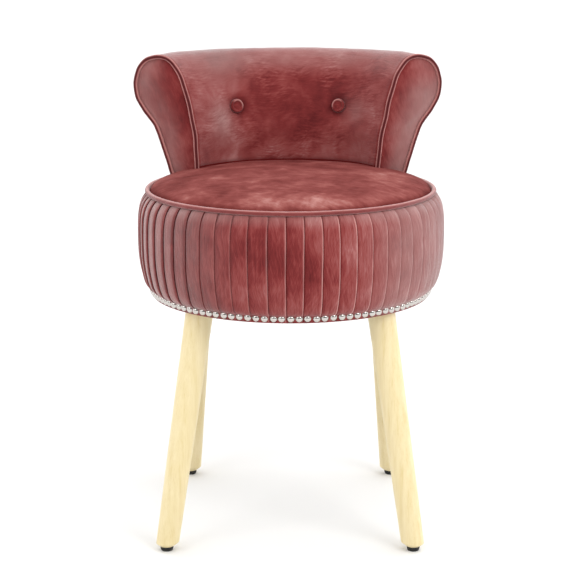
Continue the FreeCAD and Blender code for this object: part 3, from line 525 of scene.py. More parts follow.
# ------------------------------------------------------------------ drum band with knife pleats
EDGES = np.array([-165.9, -160.6, -154.7, -148.6, -142.5, -136.5, -130.3, -123.95, -117.6, -111.45, -105.2, -98.15, -91.7, -85.35, -78.75, -72.6, -66.2, -60.0, -53.7, -47.35,
                  -41.2, -34.9, -29.2, -23.5, -18.1, -12.6])
rest = PITCHES - len(EDGES)
gap = 360 - (EDGES[-1] - EDGES[0])
others = EDGES[-1] + gap * np.arange(1, rest + 1) / (rest + 1)
others = others + RNG.normal(0, 0.22, rest)
EDGE = np.radians(np.concatenate([EDGES, others]))          # fold edges, growing anticlockwise
PLEATS = len(EDGE)

BAND = [(183.4, 309.3), (183.5, 313.2), (184.1, 316.9), (187.4, 319.3), (191.0, 323.4), (194.3, 330.6), (196.6, 340), (198.7, 351), (200.3, 367), (200.7, 389),
        (200.2, 410), (198.9, 421), (196.1, 431), (192.3, 437.4), (189.2, 440.6), (187.0, 441.6), (185.2, 441.2)]
ROWS = 84
prof = catmull(BAND, ROWS)
plen = lengths(prof)
# section of one pleat: (distance along the strip in mm, height in mm); the fold laps over the next strip
SECTION = np.array([(-1.5, -2.35), (-0.7, -2.2), (0.0, -1.9), (0.5, -1.62), (1.1, -1.4), (2.2, -1.16), (3.8, -0.92), (6.0, -0.62), (9.0, -0.26), (12.2, 0.06), (15.2, 0.28), (17.8, 0.42),
                    (19.6, 0.46), (20.7, 0.38), (21.4, 0.14), (21.78, -0.28), (21.86, -0.74), (21.6, -1.12), (21.0, -1.4), (20.2, -1.7), (19.9, -2.1)])
NS = len(SECTION)


def drum_tone_and_sheen(th, z):
    """Tone of the drum, partly painted sheen: deep in the middle of the front and paler to the sides and under the
    seam, where the front sees the velvet at a grazing angle; darker towards the nails; patches and random nap tone
    besides.
    """
    deg = np.degrees(np.angle(np.exp(1j * (th + math.pi / 2))))        # 0 at the front, + to the right
    t = 0.10 - 0.66 * np.exp(-((deg + 1) / 16.0) ** 2) * np.exp(-((z - 385) / 44.0) ** 2)
    t = t - 0.26 * np.exp(-((deg + 9) / 9.0) ** 2) * np.exp(-((z - 398) / 26.0) ** 2)
    t = t - 0.30 * (1 - smooth(-44, -24, deg)) * (1 - 0.7 * smooth(-56, -70, deg)) + 0.12 * np.exp(-((deg - 52) / 24.0) ** 2)
    t = t - 0.30 * smooth(58, 74, deg) - 0.46 * np.exp(-((deg + 31) / 11.0) ** 2) + 0.16 * np.exp(-((deg + 62) / 10.0) ** 2)
    t = t + 0.26 * smooth(424, 439, z) - 0.10 * (1 - smooth(316, 338, z))
    return t + 0.40 * fbm(deg * 0.055, z * 0.016, 2.4, 2)


def drum_painted_sheen(th, z):
    """Painted sheen on the drum: greyer and paler to the left and right and under the seam, where the front sees the
    velvet at a grazing angle.
    """
    deg = np.degrees(np.angle(np.exp(1j * (th + math.pi / 2))))
    b = 0.42 * smooth(24, 46, deg) * (1 - 0.35 * smooth(66, 84, deg)) + 0.24 * smooth(426, 439, z) + 0.34 * (1 - smooth(-44, -16, deg))
    return b * (0.85 + 0.5 * fbm(deg * 0.08, z * 0.02, 6.4, 2))


def build_band():
    cols, us, tones, strips, crease_shades, crest_highlights, painted_sheens = [], [], [], [], [], [], []
    zt = prof[:, 1]
    # how far the pleats stand open: full in the middle, pinched at the rim and at the nails
    open_ = 0.30 + 0.70 * smooth(312, 332, zt) * (1 - 0.55 * smooth(431, 441.5, zt))
    uacc = 0.0
    for i in range(PLEATS):
        e0, e1 = EDGE[i - 1] - (2 * math.pi if i == 0 else 0), EDGE[i]
        if e1 < e0:
            e1 += 2 * math.pi
        width = (e1 - e0)
        where = math.degrees(EDGE[i])
        left = float(1 - smooth(-136, -122, where)) if where < 0 else 1.0
        amp = (1.0 + 0.14 * gnoise(i * 0.77, 3.3)) * float(np.interp(where, [-180, -148, -130, -119, -103, -96, 0], [1.6, 1.6, 1.2, 0.66, 0.55, 0.95, 1.0]))
        # how much light the fold edges catch round the drum, for their painted highlight
        lit = float(np.interp(where, [-180, -125, -104, -97, -90, -84, -78, -66, -60, -54, -47, -40, -20, 0], [0.15, 0.2, 0.42, 0.65, 0.9, 1.1, 1.5, 1.55, 1.5, 1.1, 0.85, 0.6, 0.6, 0.5]))
        shift = 0.16 * gnoise(i * 1.37, 8.1)
        # one soft diagonal dent on some strips
        dent_z, dent_s, dent_k = 345 + 80 * RNG.random(), 7 + 8 * RNG.random(), (0.75 if RNG.random() < 0.55 else 0.0)
        slope = RNG.uniform(-2.2, 2.2)
        for k, (s, h) in enumerate(SECTION):
            frac = s / 21.7
            th = e0 + width * frac
            # slow wander of the fold line up the drum, the same for both sides of the fold
            edge_i = i if frac > 0.5 else i - 1
            wander = 0.30 * gnoise(zt * 0.018, edge_i * 1.7 + 0.3) + 0.10 * gnoise(zt * 0.06, edge_i * 2.9)
            th = th + np.radians(wander) * (abs(frac - 0.5) * 2) ** 2
            bulge = 0.42 * gnoise(zt * 0.026 + 5, s * 0.07 + i * 3.1) + 0.14 * gnoise(zt * 0.09, s * 0.2 + i * 5.1)
            line = (zt - dent_z) / 24.0
            dent = -dent_k * np.exp(-line ** 2) * np.exp(-(((s - dent_s) - slope * line) / 1.7) ** 2)
            inside = math.sin(min(max(frac, 0), 1) * math.pi)
            height = ((h * amp if h > 0 else h * min(amp, 1.0)) + (bulge + dent) * inside) * open_
            # little gathers where the cloth is caught by the nails and by the seam
            near_seam, near_nail = smooth(424, 439, zt), 1 - smooth(317, 333, zt)
            height = height + (near_seam * 0.42 + near_nail * 0.30) * gnoise(s * 0.42 + i * 9.1, zt * 0.045) * inside
            # each strip is a small arch where it goes into the seam
            height = height - near_seam * 1.1 * (1 - inside) ** 1.5 * (k < NS - 6)
            flank = math.degrees(EDGE[i]) + (360 if EDGE[i] < 0 else 0)
            # never deeper than the cloth allocation, so the filling stays covered
            r = (prof[:, 0] + np.maximum(height - 1.2 * math.exp(-((flank - 184) / 15.0) ** 2), -2.45)) / 1000
            cols.append(polar(r, th, zt / 1000))
            us.append((uacc + s / 1000) * np.ones(ROWS))
            wisp = 0.30 * gnoise(s * 0.33 + i * 7.7, zt * 0.022, 1.0) + 0.20 * gnoise(s * 0.75 + i * 3.3, zt * 0.03, 4.0)
            # painted shade beside each fold: on the left of the drum, where the front sees into the crevices, darker by
            # the fold edges with a paler middle and the painted sheen taken off the edges; all round, a little darker
            # just past the fold and paler before its edge
            left_fold_shade = 0.20 * left * math.exp(-((s - 10.5) / 4.2) ** 2) - 0.58 * left * math.exp(-((s - 20.4) / 2.2) ** 2) - 0.25 * left * math.exp(-((s - 1.5) / 1.6) ** 2)
            tones.append(drum_tone_and_sheen(th, zt) + shift + wisp + left_fold_shade + 0.10 * math.exp(-((s - 17.5) / 3.0) ** 2) - 0.20 * math.exp(-((s - 2.0) / 3.0) ** 2))
            painted_sheens.append(drum_painted_sheen(th, zt) * (1 - 0.9 * left * math.exp(-((s - 20.8) / 2.6) ** 2)))
            strips.append(np.full(ROWS, i + 0.5))
            # painted shade in the fold: strong in the crevice and on the underside of the lip, fading up the strip
            low = 1.0 if s < 0.6 else max(0.0, 0.75 - (s - 0.6) / 2.2)
            if k >= NS - 5:
                low = (0.1, 0.5, 0.85, 1.0, 1.0)[k - (NS - 5)]
            # the folds just left of the middle lie flat, so their painted crease shade is weak
            calm = float(np.interp(math.degrees(EDGE[edge_i]), [-180, -123, -116, -97, -91, 0], [1, 1, 0.38, 0.38, 0.9, 1]))
            crease_shades.append(np.clip(low, 0, 1) * calm * np.ones(ROWS))
            # painted highlight along the top edge of each fold, scaled by lit
            top = math.exp(-((s - 21.3) / 0.8) ** 2) if k < NS - 4 else 0.0
            crest_highlights.append(0.72 * lit * top * np.clip(0.8 + 0.9 * gnoise(zt * 0.05, i * 2.2), 0.2, 1.15))
        uacc += 0.0217
    P = np.array(cols)
    U = np.array(us)
    V = np.broadcast_to(plen / 1000, U.shape)
    UV = np.stack([U, V], -1)
    UV = np.concatenate([UV, UV[-1:] + np.array([0.0004, 0])], 0)
    verts, faces, uvs = grid(P, UV, wrap_u=True)
    ob = make_object("drum_band_pleated", verts, faces, uvs, "velvet", ["seat_boxing"], M_BAND, inner=M_FOLD_SHADE,
                     points={"tone": tones, "strip": strips, "crease_shade": crease_shades, "crest_highlight": np.clip(crest_highlights, 0, 1), "painted_sheen": painted_sheens})
    return ob


build_band()

# cloth turned under the board, below the nails
U_SEG = 360
under = np.array([(183.6, 310.2), (183.5, 309.1), (182.6, 308.5), (180.5, 308.55), (177.0, 309.0), (173.5, 309.55), (169.0, 310.2), (164.0, 310.6)])
under = catmull(under, 16)
th = np.linspace(0, 2 * math.pi, U_SEG, endpoint=False)
TT, KK = np.meshgrid(th, np.arange(16), indexing="ij")
pleat_wave = 0.16 * gnoise(np.cos(TT) * 60, np.sin(TT) * 60, KK * 0.3)
R = under[KK, 0] + 0.0 * TT
Z = under[KK, 1] + pleat_wave * smooth(1, 5, KK)
P = polar(R / 1000, TT, Z / 1000)
thx = np.linspace(0, 2 * math.pi, U_SEG + 1)
UV = np.stack(np.broadcast_arrays((thx * 0.183)[:, None], (lengths(under) / 1000)[None, :]), -1)
verts, faces, uvs = grid(P, UV, wrap_u=True, flip=True)
make_object("drum_band_turned_edge", verts, faces, uvs, "velvet", (), M_BAND,
            points={"strip": np.repeat(np.arange(U_SEG) // 6 + 0.5, 16), "tone": np.full(len(verts), -0.25)})

# ------------------------------------------------------------------ seat top
TOP = [(0, 470.0), (20, 469.9), (40, 469.5), (60, 468.7), (80, 467.5), (95, 466.3), (110, 464.9), (125, 463.3), (137, 461.8), (150, 459.7), (160, 457.6), (168, 455.4),
       (174, 453.0), (178.5, 450.4), (181.6, 447.4), (183.2, 444.6), (183.9, 442.2), (184.4, 440.4)]


def build_top():
    nr, na = 76, 300
    tp = catmull(TOP, nr)
    th = np.linspace(0, 2 * math.pi, na, endpoint=False)
    T, K = np.meshgrid(th, np.arange(1, nr), indexing="ij")
    r, z = tp[K, 0], tp[K, 1]
    x, y = r * np.cos(T), r * np.sin(T)
    edge = smooth(150, 178, r) * (1 - smooth(181, 183.5, r))
    dent = 1.1 * fbm(x * 0.011, y * 0.011, 1.5, 2) + 0.35 * fbm(x * 0.035, y * 0.035, 4.0, 2)
    pucker = 0.5 * gnoise(np.cos(T) * 21, np.sin(T) * 21, r * 0.02) + 0.25 * gnoise(np.cos(T) * 47, np.sin(T) * 47, r * 0.03)
    z = z + dent * (1 - smooth(160, 180, r)) + pucker * edge
    # the back presses its line into the seat
    ang = np.angle(np.exp(1j * (T - (math.pi / 2 + TURN))))
    press = np.exp(-((r - 137) / 5.0) ** 2) * (np.abs(ang) < HALF)
    z = z - 0.5 * press
    P = polar(r / 1000, T, z / 1000)
    verts = np.vstack([P.reshape(-1, 3), [[0, AY, (470.0) / 1000 + 0.0]]])
    uvp = np.stack([P[..., 0], P[..., 1]], -1)
    uvp = np.concatenate([uvp, uvp[:1]], 0)
    _, faces, uvs = grid(P, uvp, wrap_u=True, flip=True)
    uvs = list(uvs)
    c = len(verts) - 1
    m = nr - 1
    for i in range(na):
        j = (i + 1) % na
        faces.append([c, i * m, j * m])
        uvs.extend([(0, AY), tuple(uvp[i, 0]), tuple(uvp[i + 1, 0])])
    verts[c, 2] = float(np.mean(P[:, 0, 2]))
    rr, tt = np.hypot(verts[:, 0], verts[:, 1] - AY) * 1000, np.arctan2(verts[:, 1] - AY, verts[:, 0])
    xx, yy = verts[:, 0] * 1000, (verts[:, 1] - AY) * 1000
    tone = -0.06 + 0.34 * fbm(xx * 0.011, yy * 0.017, 5.2, 3)
    tone = tone + 0.80 * np.exp(-((xx - 4) / 78.0) ** 2 - ((yy + 164) / 22.0) ** 2) + 0.26 * np.exp(-((xx + 22) / 42.0) ** 2 - ((yy + 118) / 26.0) ** 2)
    tone = tone + 0.50 * np.exp(-((xx - 132) / 38.0) ** 2 - ((yy + 55) / 60.0) ** 2) - 0.08 * np.exp(-((xx + 125) / 30.0) ** 2 - ((yy + 60) / 60.0) ** 2)
    tone = tone + 0.42 * np.exp(-((xx - 32 - 0.5 * (yy - 70)) / 12.0) ** 2 - ((yy - 78) / 26.0) ** 2) - 0.30 * np.exp(-((xx - 12) / 14.0) ** 2 - ((yy - 96) / 22.0) ** 2)
    # painted shade: a dark line round the rim, in the seam under the piping
    tone = tone - 0.55 * np.exp(-((rr - 181.8) / 3.0) ** 2)
    # painted shade in crease_shade: in the seam by the piping and along the line the back presses into the seat
    press = np.exp(-((rr - 135) / 5.0) ** 2) * (np.abs(np.angle(np.exp(1j * (tt - math.pi / 2 - TURN)))) < HALF)
    ob = make_object("seat_top", verts, faces, np.array(uvs), "velvet", ["seat_cover"], M_SEAT, inner=M_FOLD_SHADE,
                     points={"tone": tone, "crease_shade": np.clip(0.75 * smooth(181.0, 183.6, rr) + 0.45 * press, 0, 1)})
    return ob


build_top()

# ------------------------------------------------------------------ seat piping
th = np.linspace(0, 2 * math.pi, 540, endpoint=False)
wob = 0.25 * gnoise(np.cos(th) * 6, np.sin(th) * 6, 2.0) + 0.10 * gnoise(np.cos(th) * 22, np.sin(th) * 22, 5.0)
path = polar((186.7 + 0.5 * wob) / 1000, th, (444.6 + wob) / 1000)


# painted sheen of the seat piping: deep where the cord faces outwards and a little up, pale on top and below
def ring_facing_sheen(axis, nrm):
    out = axis - np.array([0, AY, 0])
    out[..., 2] = 0
    out /= np.linalg.norm(out, axis=2)[..., None]
    out = out * 0.93 + np.array([0, 0, 0.12])
    out /= np.linalg.norm(out, axis=2)[..., None]
    return 0.38 + 0.35 * smooth(0.45, 0.98, (nrm * out).sum(2)) - 0.42 * smooth(0.3, 0.9, nrm[..., 2])


tube_object("seat_piping_cord", path, 0.00305, 20, True, wobble=0.08, nodes=["seat_piping"], material=M_RIM, slot="velvet", facing_sheen=ring_facing_sheen)

# ------------------------------------------------------------------ back: inside face and roll
SKIN = [(137.6, 459.5), (137.2, 464.0), (137.6, 474), (138.1, 484), (139, 505), (143, 525), (148, 549), (155, 570), (161, 585), (169.5, 598.4), (178.5, 606.6), (188, 610.3), (198, 611),
        (208.5, 609.2), (217.5, 605.5), (224.7, 599.6), (230.3, 592), (234, 583), (236, 576), (236.6, 569), (236.0, 562), (234.4, 555), (231.5, 547.5), (226.6, 540), (220.5, 532.6), (215.0, 527.2), (211.5, 525.0), (209.0, 524.6)]
BUTTON_PHI = math.radians(28.3)
BUTTON_Z = 0.538


def back_point(r, phi, z):
    """phi is measured from the middle of the back, anticlockwise from above."""
    return polar(r, math.pi / 2 + TURN + phi, z)


def build_back():
    ns, na = 150, 260
    sp = catmull(SKIN, ns)
    tan = np.gradient(sp, axis=0)
    tan /= np.linalg.norm(tan, axis=1)[:, None]
    nrm = np.stack([-tan[:, 1], tan[:, 0]], 1)          # points away from the stuffing
    s = lengths(sp)
    phis = np.linspace(-1, 1, na)
    phis = np.sign(phis) * (1 - (1 - np.abs(phis)) ** 1.0)
    phi = phis * (HALF - 0.0045)
    A, K = np.meshgrid(phi, np.arange(ns), indexing="ij")
    r, z = sp[K, 0], sp[K, 1]
    arc = r * (HALF - np.abs(A))                        # distance from the end, mm
    body = smooth(4, 40, arc)
    S_ = s[K]
    L = s[-1]
    puff = 1.6 * np.sin(np.clip(S_ / L, 0, 1) * math.pi) ** 0.8 * (body - 0.55)
    soft = 1.0 * fbm(A * r * 0.012, S_ * 0.014, 2.2, 2) * body + 0.28 * fbm(A * r * 0.045, S_ * 0.05, 6.2, 2) * body
    pinch = -2.6 * (1 - smooth(0.5, 7.0, arc)) - 0.7 * (1 - smooth(5, 22, arc))
    pull = 0.35 * gnoise(S_ * 0.16, 3.0 + np.sign(A) * 5, arc * 0.03) * (1 - smooth(6, 30, arc))
    d = puff + soft + pinch + pull
    for sg in (-1, 1):
        dx = r * (A - sg * BUTTON_PHI)
        dz = z - 538.0
        front = (S_ < L * 0.42)
        q = np.hypot(dx, dz)
        well = -4.2 * np.exp(-(q / 10.5) ** 2) - 1.6 * np.exp(-(q / 24.0) ** 2)
        ang = np.arctan2(dz, dx)
        fold = 0.42 * np.cos(ang * 5 + 0.8 * sg) * np.exp(-((q - 16) / 8.0) ** 2)
        d = d + (well + fold) * front
    # the bottom of the inside face is drawn down behind the seat
    d = d - 0.8 * (1 - smooth(0, 9, S_))
    r2 = r + nrm[K, 0] * d
    z2 = z + nrm[K, 1] * d
    r2 = r2 - 5.5 * np.clip((528 - z) / 70.0, 0, 1) * (1 - smooth(4, 62, arc)) * (A < 0) * (S_ < L * 0.35)
    z2 = z2 + 0.35 * gnoise(A * 9, 1.0) * smooth(570, 600, z2)
    P = back_point(r2 / 1000, A, z2 / 1000)
    UV = np.stack([A * 0.16, S_ / 1000], -1)
    verts, faces, uvs = grid(P, UV, flip=True)
    deg, up = np.degrees(A), np.where(S_ < L * 0.5, z, 611 + (S_ - L * 0.5))     # + deg is the sitter's right when facing out
    # tone, partly painted sheen: the middle, which the front sees face-on, is laid deep as velvet looks face-on;
    # patches round it, and random nap tone at the end
    tone = -0.60 * np.exp(-((deg + 4) / 21.0) ** 2) * np.exp(-((up - 512) / 40.0) ** 2)
    tone = tone - 0.28 * np.exp(-((deg - 3) / 26.0) ** 2) * np.exp(-((up - 560) / 26.0) ** 2)
    tone = tone + 0.42 * np.exp(-((deg - 41) / 9.0) ** 2) * np.exp(-((up - 516) / 26.0) ** 2)
    tone = tone + 0.24 * np.exp(-((deg - 46) / 12.0) ** 2) * np.exp(-((up - 566) / 30.0) ** 2)
    tone = tone + 0.16 * np.exp(-((deg + 45) / 11.0) ** 2) * np.exp(-((up - 520) / 34.0) ** 2)
    tone = tone + 0.16 * smooth(580, 606, up) + 0.12 - 0.22 * np.exp(-((np.abs(deg) - 60) / 3.5) ** 2)
    tone = tone - 0.26 * smooth(12, 26, -deg) * (1 - smooth(46, 58, -deg)) * smooth(480, 500, up) * (1 - smooth(566, 590, up))
    tone = tone - 0.14 * smooth(570, 600, up) + 0.22 * np.exp(-((deg - 36) / 12.0) ** 2) * (1 - smooth(485, 505, up))
    tone = tone - 0.30 * np.exp(-((deg - 34) / 16.0) ** 2) * smooth(556, 585, up)
    tone = tone + 0.46 * fbm(deg * 0.045, up * 0.020, 7.7, 3) + 0.16 * fbm(deg * 0.16, up * 0.11, 2.7, 3)
    # painted sheen: greyer at the top of the roll, which the front sees at a grazing angle, and in patches beside the
    # buttons
    painted_sheen = 0.30 * smooth(572, 604, up) * (0.8 + 0.6 * fbm(deg * 0.06, up * 0.05, 4.1, 2))
    painted_sheen = painted_sheen + 0.42 * np.exp(-((deg - 39) / 7.0) ** 2) * np.exp(-((up - 520) / 22.0) ** 2) + 0.22 * np.exp(-((deg + 40) / 6.0) ** 2) * np.exp(-((up - 532) / 16.0) ** 2)
    painted_sheen = painted_sheen + 0.20 * np.exp(-((deg - 34) / 14.0) ** 2) * smooth(555, 585, up)
    painted_sheen = np.clip(painted_sheen, 0, 0.7)
    crease_shade = np.zeros_like(tone)
    # painted shade: a dark ring in the well round each button
    for sg in (-1, 1):
        q = np.hypot(r * (A - sg * BUTTON_PHI), z - 538.0)
        front = (S_ < L * 0.42)
        tone = tone - 0.55 * np.exp(-((q - 9) / 8.0) ** 2) * front
        crease_shade = np.maximum(crease_shade, 0.38 * np.exp(-((q - 9.0) / 2.2) ** 2) * front)
    # painted shade along the ends by the piping and where the back meets the seat
    crease_shade = np.maximum(crease_shade, 0.85 * (1 - smooth(0.3, 3.2, arc)))
    crease_shade = np.maximum(crease_shade, 0.6 * (1 - smooth(0, 7, S_ - 2)))
    ob = make_object("back_inside_and_roll", verts, faces, uvs, "velvet", ["back_inner_cover"], M_BACK, inner=M_FOLD_SHADE,
                     points={"tone": tone, "crease_shade": crease_shade, "painted_sheen": painted_sheen})
    return ob


build_back()

# outside of the back, below the roll
OUTSIDE = [(178.6, 447.4), (180.8, 449.0), (182.6, 453.0), (186.2, 466), (192.2, 482), (198.4, 498), (204.8, 512.5), (209.3, 519.6), (212.6, 523.4), (212.0, 525.6)]


def build_outside():
    ns, na = 60, 220
    sp = catmull(OUTSIDE, ns)
    tan = np.gradient(sp, axis=0)
    tan /= np.linalg.norm(tan, axis=1)[:, None]
    nrm = np.stack([tan[:, 1], -tan[:, 0]], 1)
    s = lengths(sp)
    phi = np.linspace(-1, 1, na) * (HALF - 0.002)
    A, K = np.meshgrid(phi, np.arange(ns), indexing="ij")
    r, z = sp[K, 0], sp[K, 1]
    arc = r * (HALF - np.abs(A))
    S_ = s[K]
    body = smooth(0, 25, arc) * smooth(0, 12, S_) * (1 - smooth(s[-1] - 12, s[-1], S_))
    d = 0.9 * body + 0.5 * fbm(A * r * 0.02, S_ * 0.03, 9.2, 2) * body - 1.2 * (1 - smooth(0, 5, arc))
    d = d + 0.3 * gnoise(A * r * 0.16, S_ * 0.02, 4.0) * (1 - smooth(4, 22, S_)) + 0.3 * gnoise(A * r * 0.14, S_ * 0.02, 8.0) * smooth(s[-1] - 20, s[-1] - 4, S_)
    P = back_point((r + nrm[K, 0] * d) / 1000, A, (z + nrm[K, 1] * d) / 1000)
    UV = np.stack([A * 0.19, S_ / 1000], -1)
    verts, faces, uvs = grid(P, UV)
    return make_object("back_outside", verts, faces, uvs, "velvet", ["back_outer_cover"], M_OUT)


build_outside()

# ------------------------------------------------------------------ wing fronts and their piping
CORD = [(140, 455.0), (140, 465), (141, 484), (142, 504.7), (146, 524.3), (151, 548), (157.9, 568.8), (163.7, 584.2), (173, 597.4), (180.4, 604.2), (188.5, 607.4), (198, 608),
        (207.8, 606.1), (215.8, 603), (222.3, 597.8), (227.9, 590.4), (231.1, 582), (233, 575.2), (233.5, 569), (232.8, 562.7), (231.6, 556), (228.8, 549), (224.2, 542), (218.2, 534), (211.8, 527.0), (202.4, 515.5), (195.2, 499.1), (189.2, 483), (183.4, 467.1), (179.6, 455.5), (177.4, 450.2)]
WING_IN = [(139.6, 458.5), (139.9, 465), (140.9, 484), (142, 504.7), (146, 524.3), (151, 548), (157.9, 568.8), (163.7, 584.2), (173, 597.4), (180.4, 604.0), (188.5, 607.2), (194, 607.9)]
WING_OUT = [(176.8, 449.0), (179.4, 455.8), (183.3, 467.0), (189.1, 483), (195.1, 499), (202.2, 515.2), (211.6, 526.9), (218.2, 534.0), (224.3, 542), (228.9, 549), (231.7, 556), (232.9, 562.7), (233.6, 569),
            (233.1, 575.2), (231.2, 582), (228.0, 590.4), (222.4, 597.9), (215.9, 603.1), (207.9, 606.2), (200.5, 607.7), (194, 607.9)]


def plane_point(sgn, x, z, out):
    """A point on the end plane of the back; out is metres in front of that plane."""
    a = math.pi / 2 + TURN + sgn * HALF
    rad = np.array([math.cos(a), math.sin(a)])
    tang = np.array([-math.sin(a), math.cos(a)]) * sgn
    x, z, out = np.broadcast_arrays(x, z, out)
    return np.stack([x * rad[0] + out * tang[0], AY + x * rad[1] + out * tang[1], z], -1)


def lean_in(r, z):
    """How far (mm) the front edge of the right wing leans in towards the seat, low down."""
    return -5.5 * np.clip((528 - z) / 70.0, 0, 1) * (1 - smooth(150, 156, r))


def build_wing(sgn, label, material):
    nt, nc = 120, 44
    a = catmull(WING_IN, nt)
    b = catmull(WING_OUT, nt)
    if sgn < 0:
        a[:, 0] += lean_in(a[:, 0], a[:, 1])
    # pair the two borders by share of length, the outer border a little ahead
    sa, sb = lengths(a) / lengths(a)[-1], lengths(b) / lengths(b)[-1]
    u = np.linspace(0, 1, nt)
    A = np.stack([np.interp(u, sa, a[:, k]) for k in (0, 1)], 1)
    B = np.stack([np.interp(u ** 0.96, sb, b[:, k]) for k in (0, 1)], 1)
    c = 0.5 - 0.5 * np.cos(np.linspace(0, math.pi, nc))
    c = 0.5 * c + 0.5 * np.linspace(0, 1, nc)
    G = A[:, None, :] * (1 - c)[None, :, None] + B[:, None, :] * c[None, :, None]
    # distance of every point to the border
    border = np.vstack([catmull(WING_IN, 300), catmull(WING_OUT, 400)])
    if sgn < 0:
        border[:300, 0] += lean_in(border[:300, 0], border[:300, 1])
    flat = G.reshape(-1, 2)
    dist = np.full(len(flat), 1e9)
    for q in range(0, len(border), 100):
        dd = np.linalg.norm(flat[:, None, :] - border[None, q:q + 100, :], axis=2).min(1)
        dist = np.minimum(dist, dd)
    dist = dist.reshape(nt, nc)
    floor_d = G[..., 1] - 448.0
    puff = 5.2 * (1 - np.exp(-dist / 8.5)) - 2.2
    roll = np.hypot(G[..., 0] - 190, G[..., 1] - 572)
    puff = puff + 1.2 * np.exp(-(roll / 26.0) ** 2)
    soft = 0.55 * fbm(G[..., 0] * 0.03, G[..., 1] * 0.02, 3.0 + sgn, 2) * smooth(0, 12, dist)
    pull = 0.22 * gnoise(G[..., 0] * 0.11, G[..., 1] * 0.11, 8.0 + sgn) * (1 - smooth(2, 12, dist))
    out = (puff + soft + pull) / 1000
    P = plane_point(sgn, G[..., 0] / 1000, G[..., 1] / 1000, out)
    rows = [P]
    # a return behind the face, so the pad has thickness at its border
    back_in = plane_point(sgn, (A[:, 0] - 0.3) / 1000, A[:, 1] / 1000, -0.0075)
    back_out = plane_point(sgn, (B[:, 0] + 0.4) / 1000, B[:, 1] / 1000, -0.0075)
    mid_out = plane_point(sgn, (B[:, 0] + 0.7) / 1000, B[:, 1] / 1000, -0.0035)
    P = np.concatenate([back_in[:, None, :], P, mid_out[:, None, :], back_out[:, None, :]], 1)
    Ux = np.concatenate([[-0.007], c * 0.09, [0.094, 0.098]])
    UV = np.stack(np.broadcast_arrays(G[:, :1, 0] * 0 + Ux[None, :], (u * 0.17)[:, None]), -1)
    # plane coordinates keep the nap straight
    XZ = np.concatenate([A[:, None, :], G, B[:, None, :], B[:, None, :]], 1) / 1000
    verts, faces, uvs = grid(P, XZ, flip=(sgn < 0))
    cc = np.concatenate([[0], c, [1, 1]])[None, :] * np.ones((nt, 1))
    dd = np.concatenate([dist[:, :1] * 0, dist, dist[:, :1] * 0, dist[:, :1] * 0], 1)
    gz = np.concatenate([A[:, None, 1], G[..., 1], B[:, None, 1], B[:, None, 1]], 1)
    # the wing pales from the inner border to the outer roll: painted sheen where the puffed panel turns away from the
    # front; painted_sheen greys the outer part, and fbm adds random tone
    ragged = cc + 0.10 * fbm(cc * 3.0 + 2 * sgn, gz * 0.05, 5.5, 3)
    pale = smooth(0.05, 1.0, ragged)
    if sgn > 0:
        tone = -0.56 + 0.56 * pale + 0.34 * fbm(cc * 2.2 + 4, gz * 0.018, 3.3, 3) - 0.16 * np.exp(-((gz - 525) / 24.0) ** 2) * (1 - cc)
        tone = tone + 0.20 * np.exp(-((gz - 498) / 20.0) ** 2) * (1 - smooth(0.5, 0.9, cc))
        painted_sheen = 0.50 * pale ** 1.3 * (0.8 + 0.5 * fbm(cc * 3.0, gz * 0.03, 1.5, 2))
    else:
        tone = -0.38 + 0.50 * smooth(0.0, 0.6, ragged) + 0.34 * fbm(cc * 2.2 - 4, gz * 0.018, 3.3, 3) - 0.22 * smooth(560, 595, gz)
        painted_sheen = 0.62 * smooth(0.0, 0.85, ragged) * (0.85 + 0.4 * fbm(cc * 3.0, gz * 0.03, 7.5, 2)) * (1 - 0.65 * smooth(555, 590, gz))
    painted_sheen = np.clip(painted_sheen, 0, 0.8)
    # painted shade along the border next to the piping, weaker on the outer side
    crease_shade = (0.85 - 0.6 * smooth(0.5, 0.9, cc)) * (1 - smooth(1.0, 4.2, dd))
    ob = make_object("wing_front_" + label, verts, faces, uvs, "velvet", ["wing_panel_" + label], material, inner=M_FOLD_SHADE,
                     points={"tone": tone, "crease_shade": crease_shade, "painted_sheen": painted_sheen})
    cp = catmull(CORD, 330)
    if sgn < 0:
        cp[:, 0] += lean_in(cp[:, 0], cp[:, 1])
    w = 0.22 * gnoise(cp[:, 1] * 0.05, sgn * 3.0, 1.0)
    path = plane_point(sgn, (cp[:, 0] + w) / 1000, cp[:, 1] / 1000, 0.0002 + 0.0002 * gnoise(cp[:, 1] * 0.08, 5.0, sgn))
    # painted sheen of the wing cords: deep where a cord faces the front (turned inwards along the inner border), pale
    # on its flanks
    aim = plane_point(sgn, 0.0, 0.0, 1.0) - plane_point(sgn, 0.0, 0.0, 0.0)
    inward = plane_point(sgn, 0.0, 0.0, 0.0) - plane_point(sgn, 1.0, 0.0, 0.0)
    part_in = 1 - smooth(0.36, 0.50, np.arange(330) / 330.0)
    aims = aim[None, :] + (0.62 * part_in - 0.05 * (1 - part_in))[:, None] * inward[None, :]
    aims /= np.linalg.norm(aims, axis=1)[:, None]
    tube_object("wing_cord_" + label, path, 0.0030, 20, False, wobble=0.08, seed=sgn * 4.0, nodes=["wing_piping_" + label], material=M_CORD, slot="velvet",
                facing_sheen=lambda axis, nrm: smooth(0.64, 0.97, (nrm * aims[:, None, :]).sum(2)))


build_wing(1, "left", M_WING_L)
build_wing(-1, "right", M_WING_R)


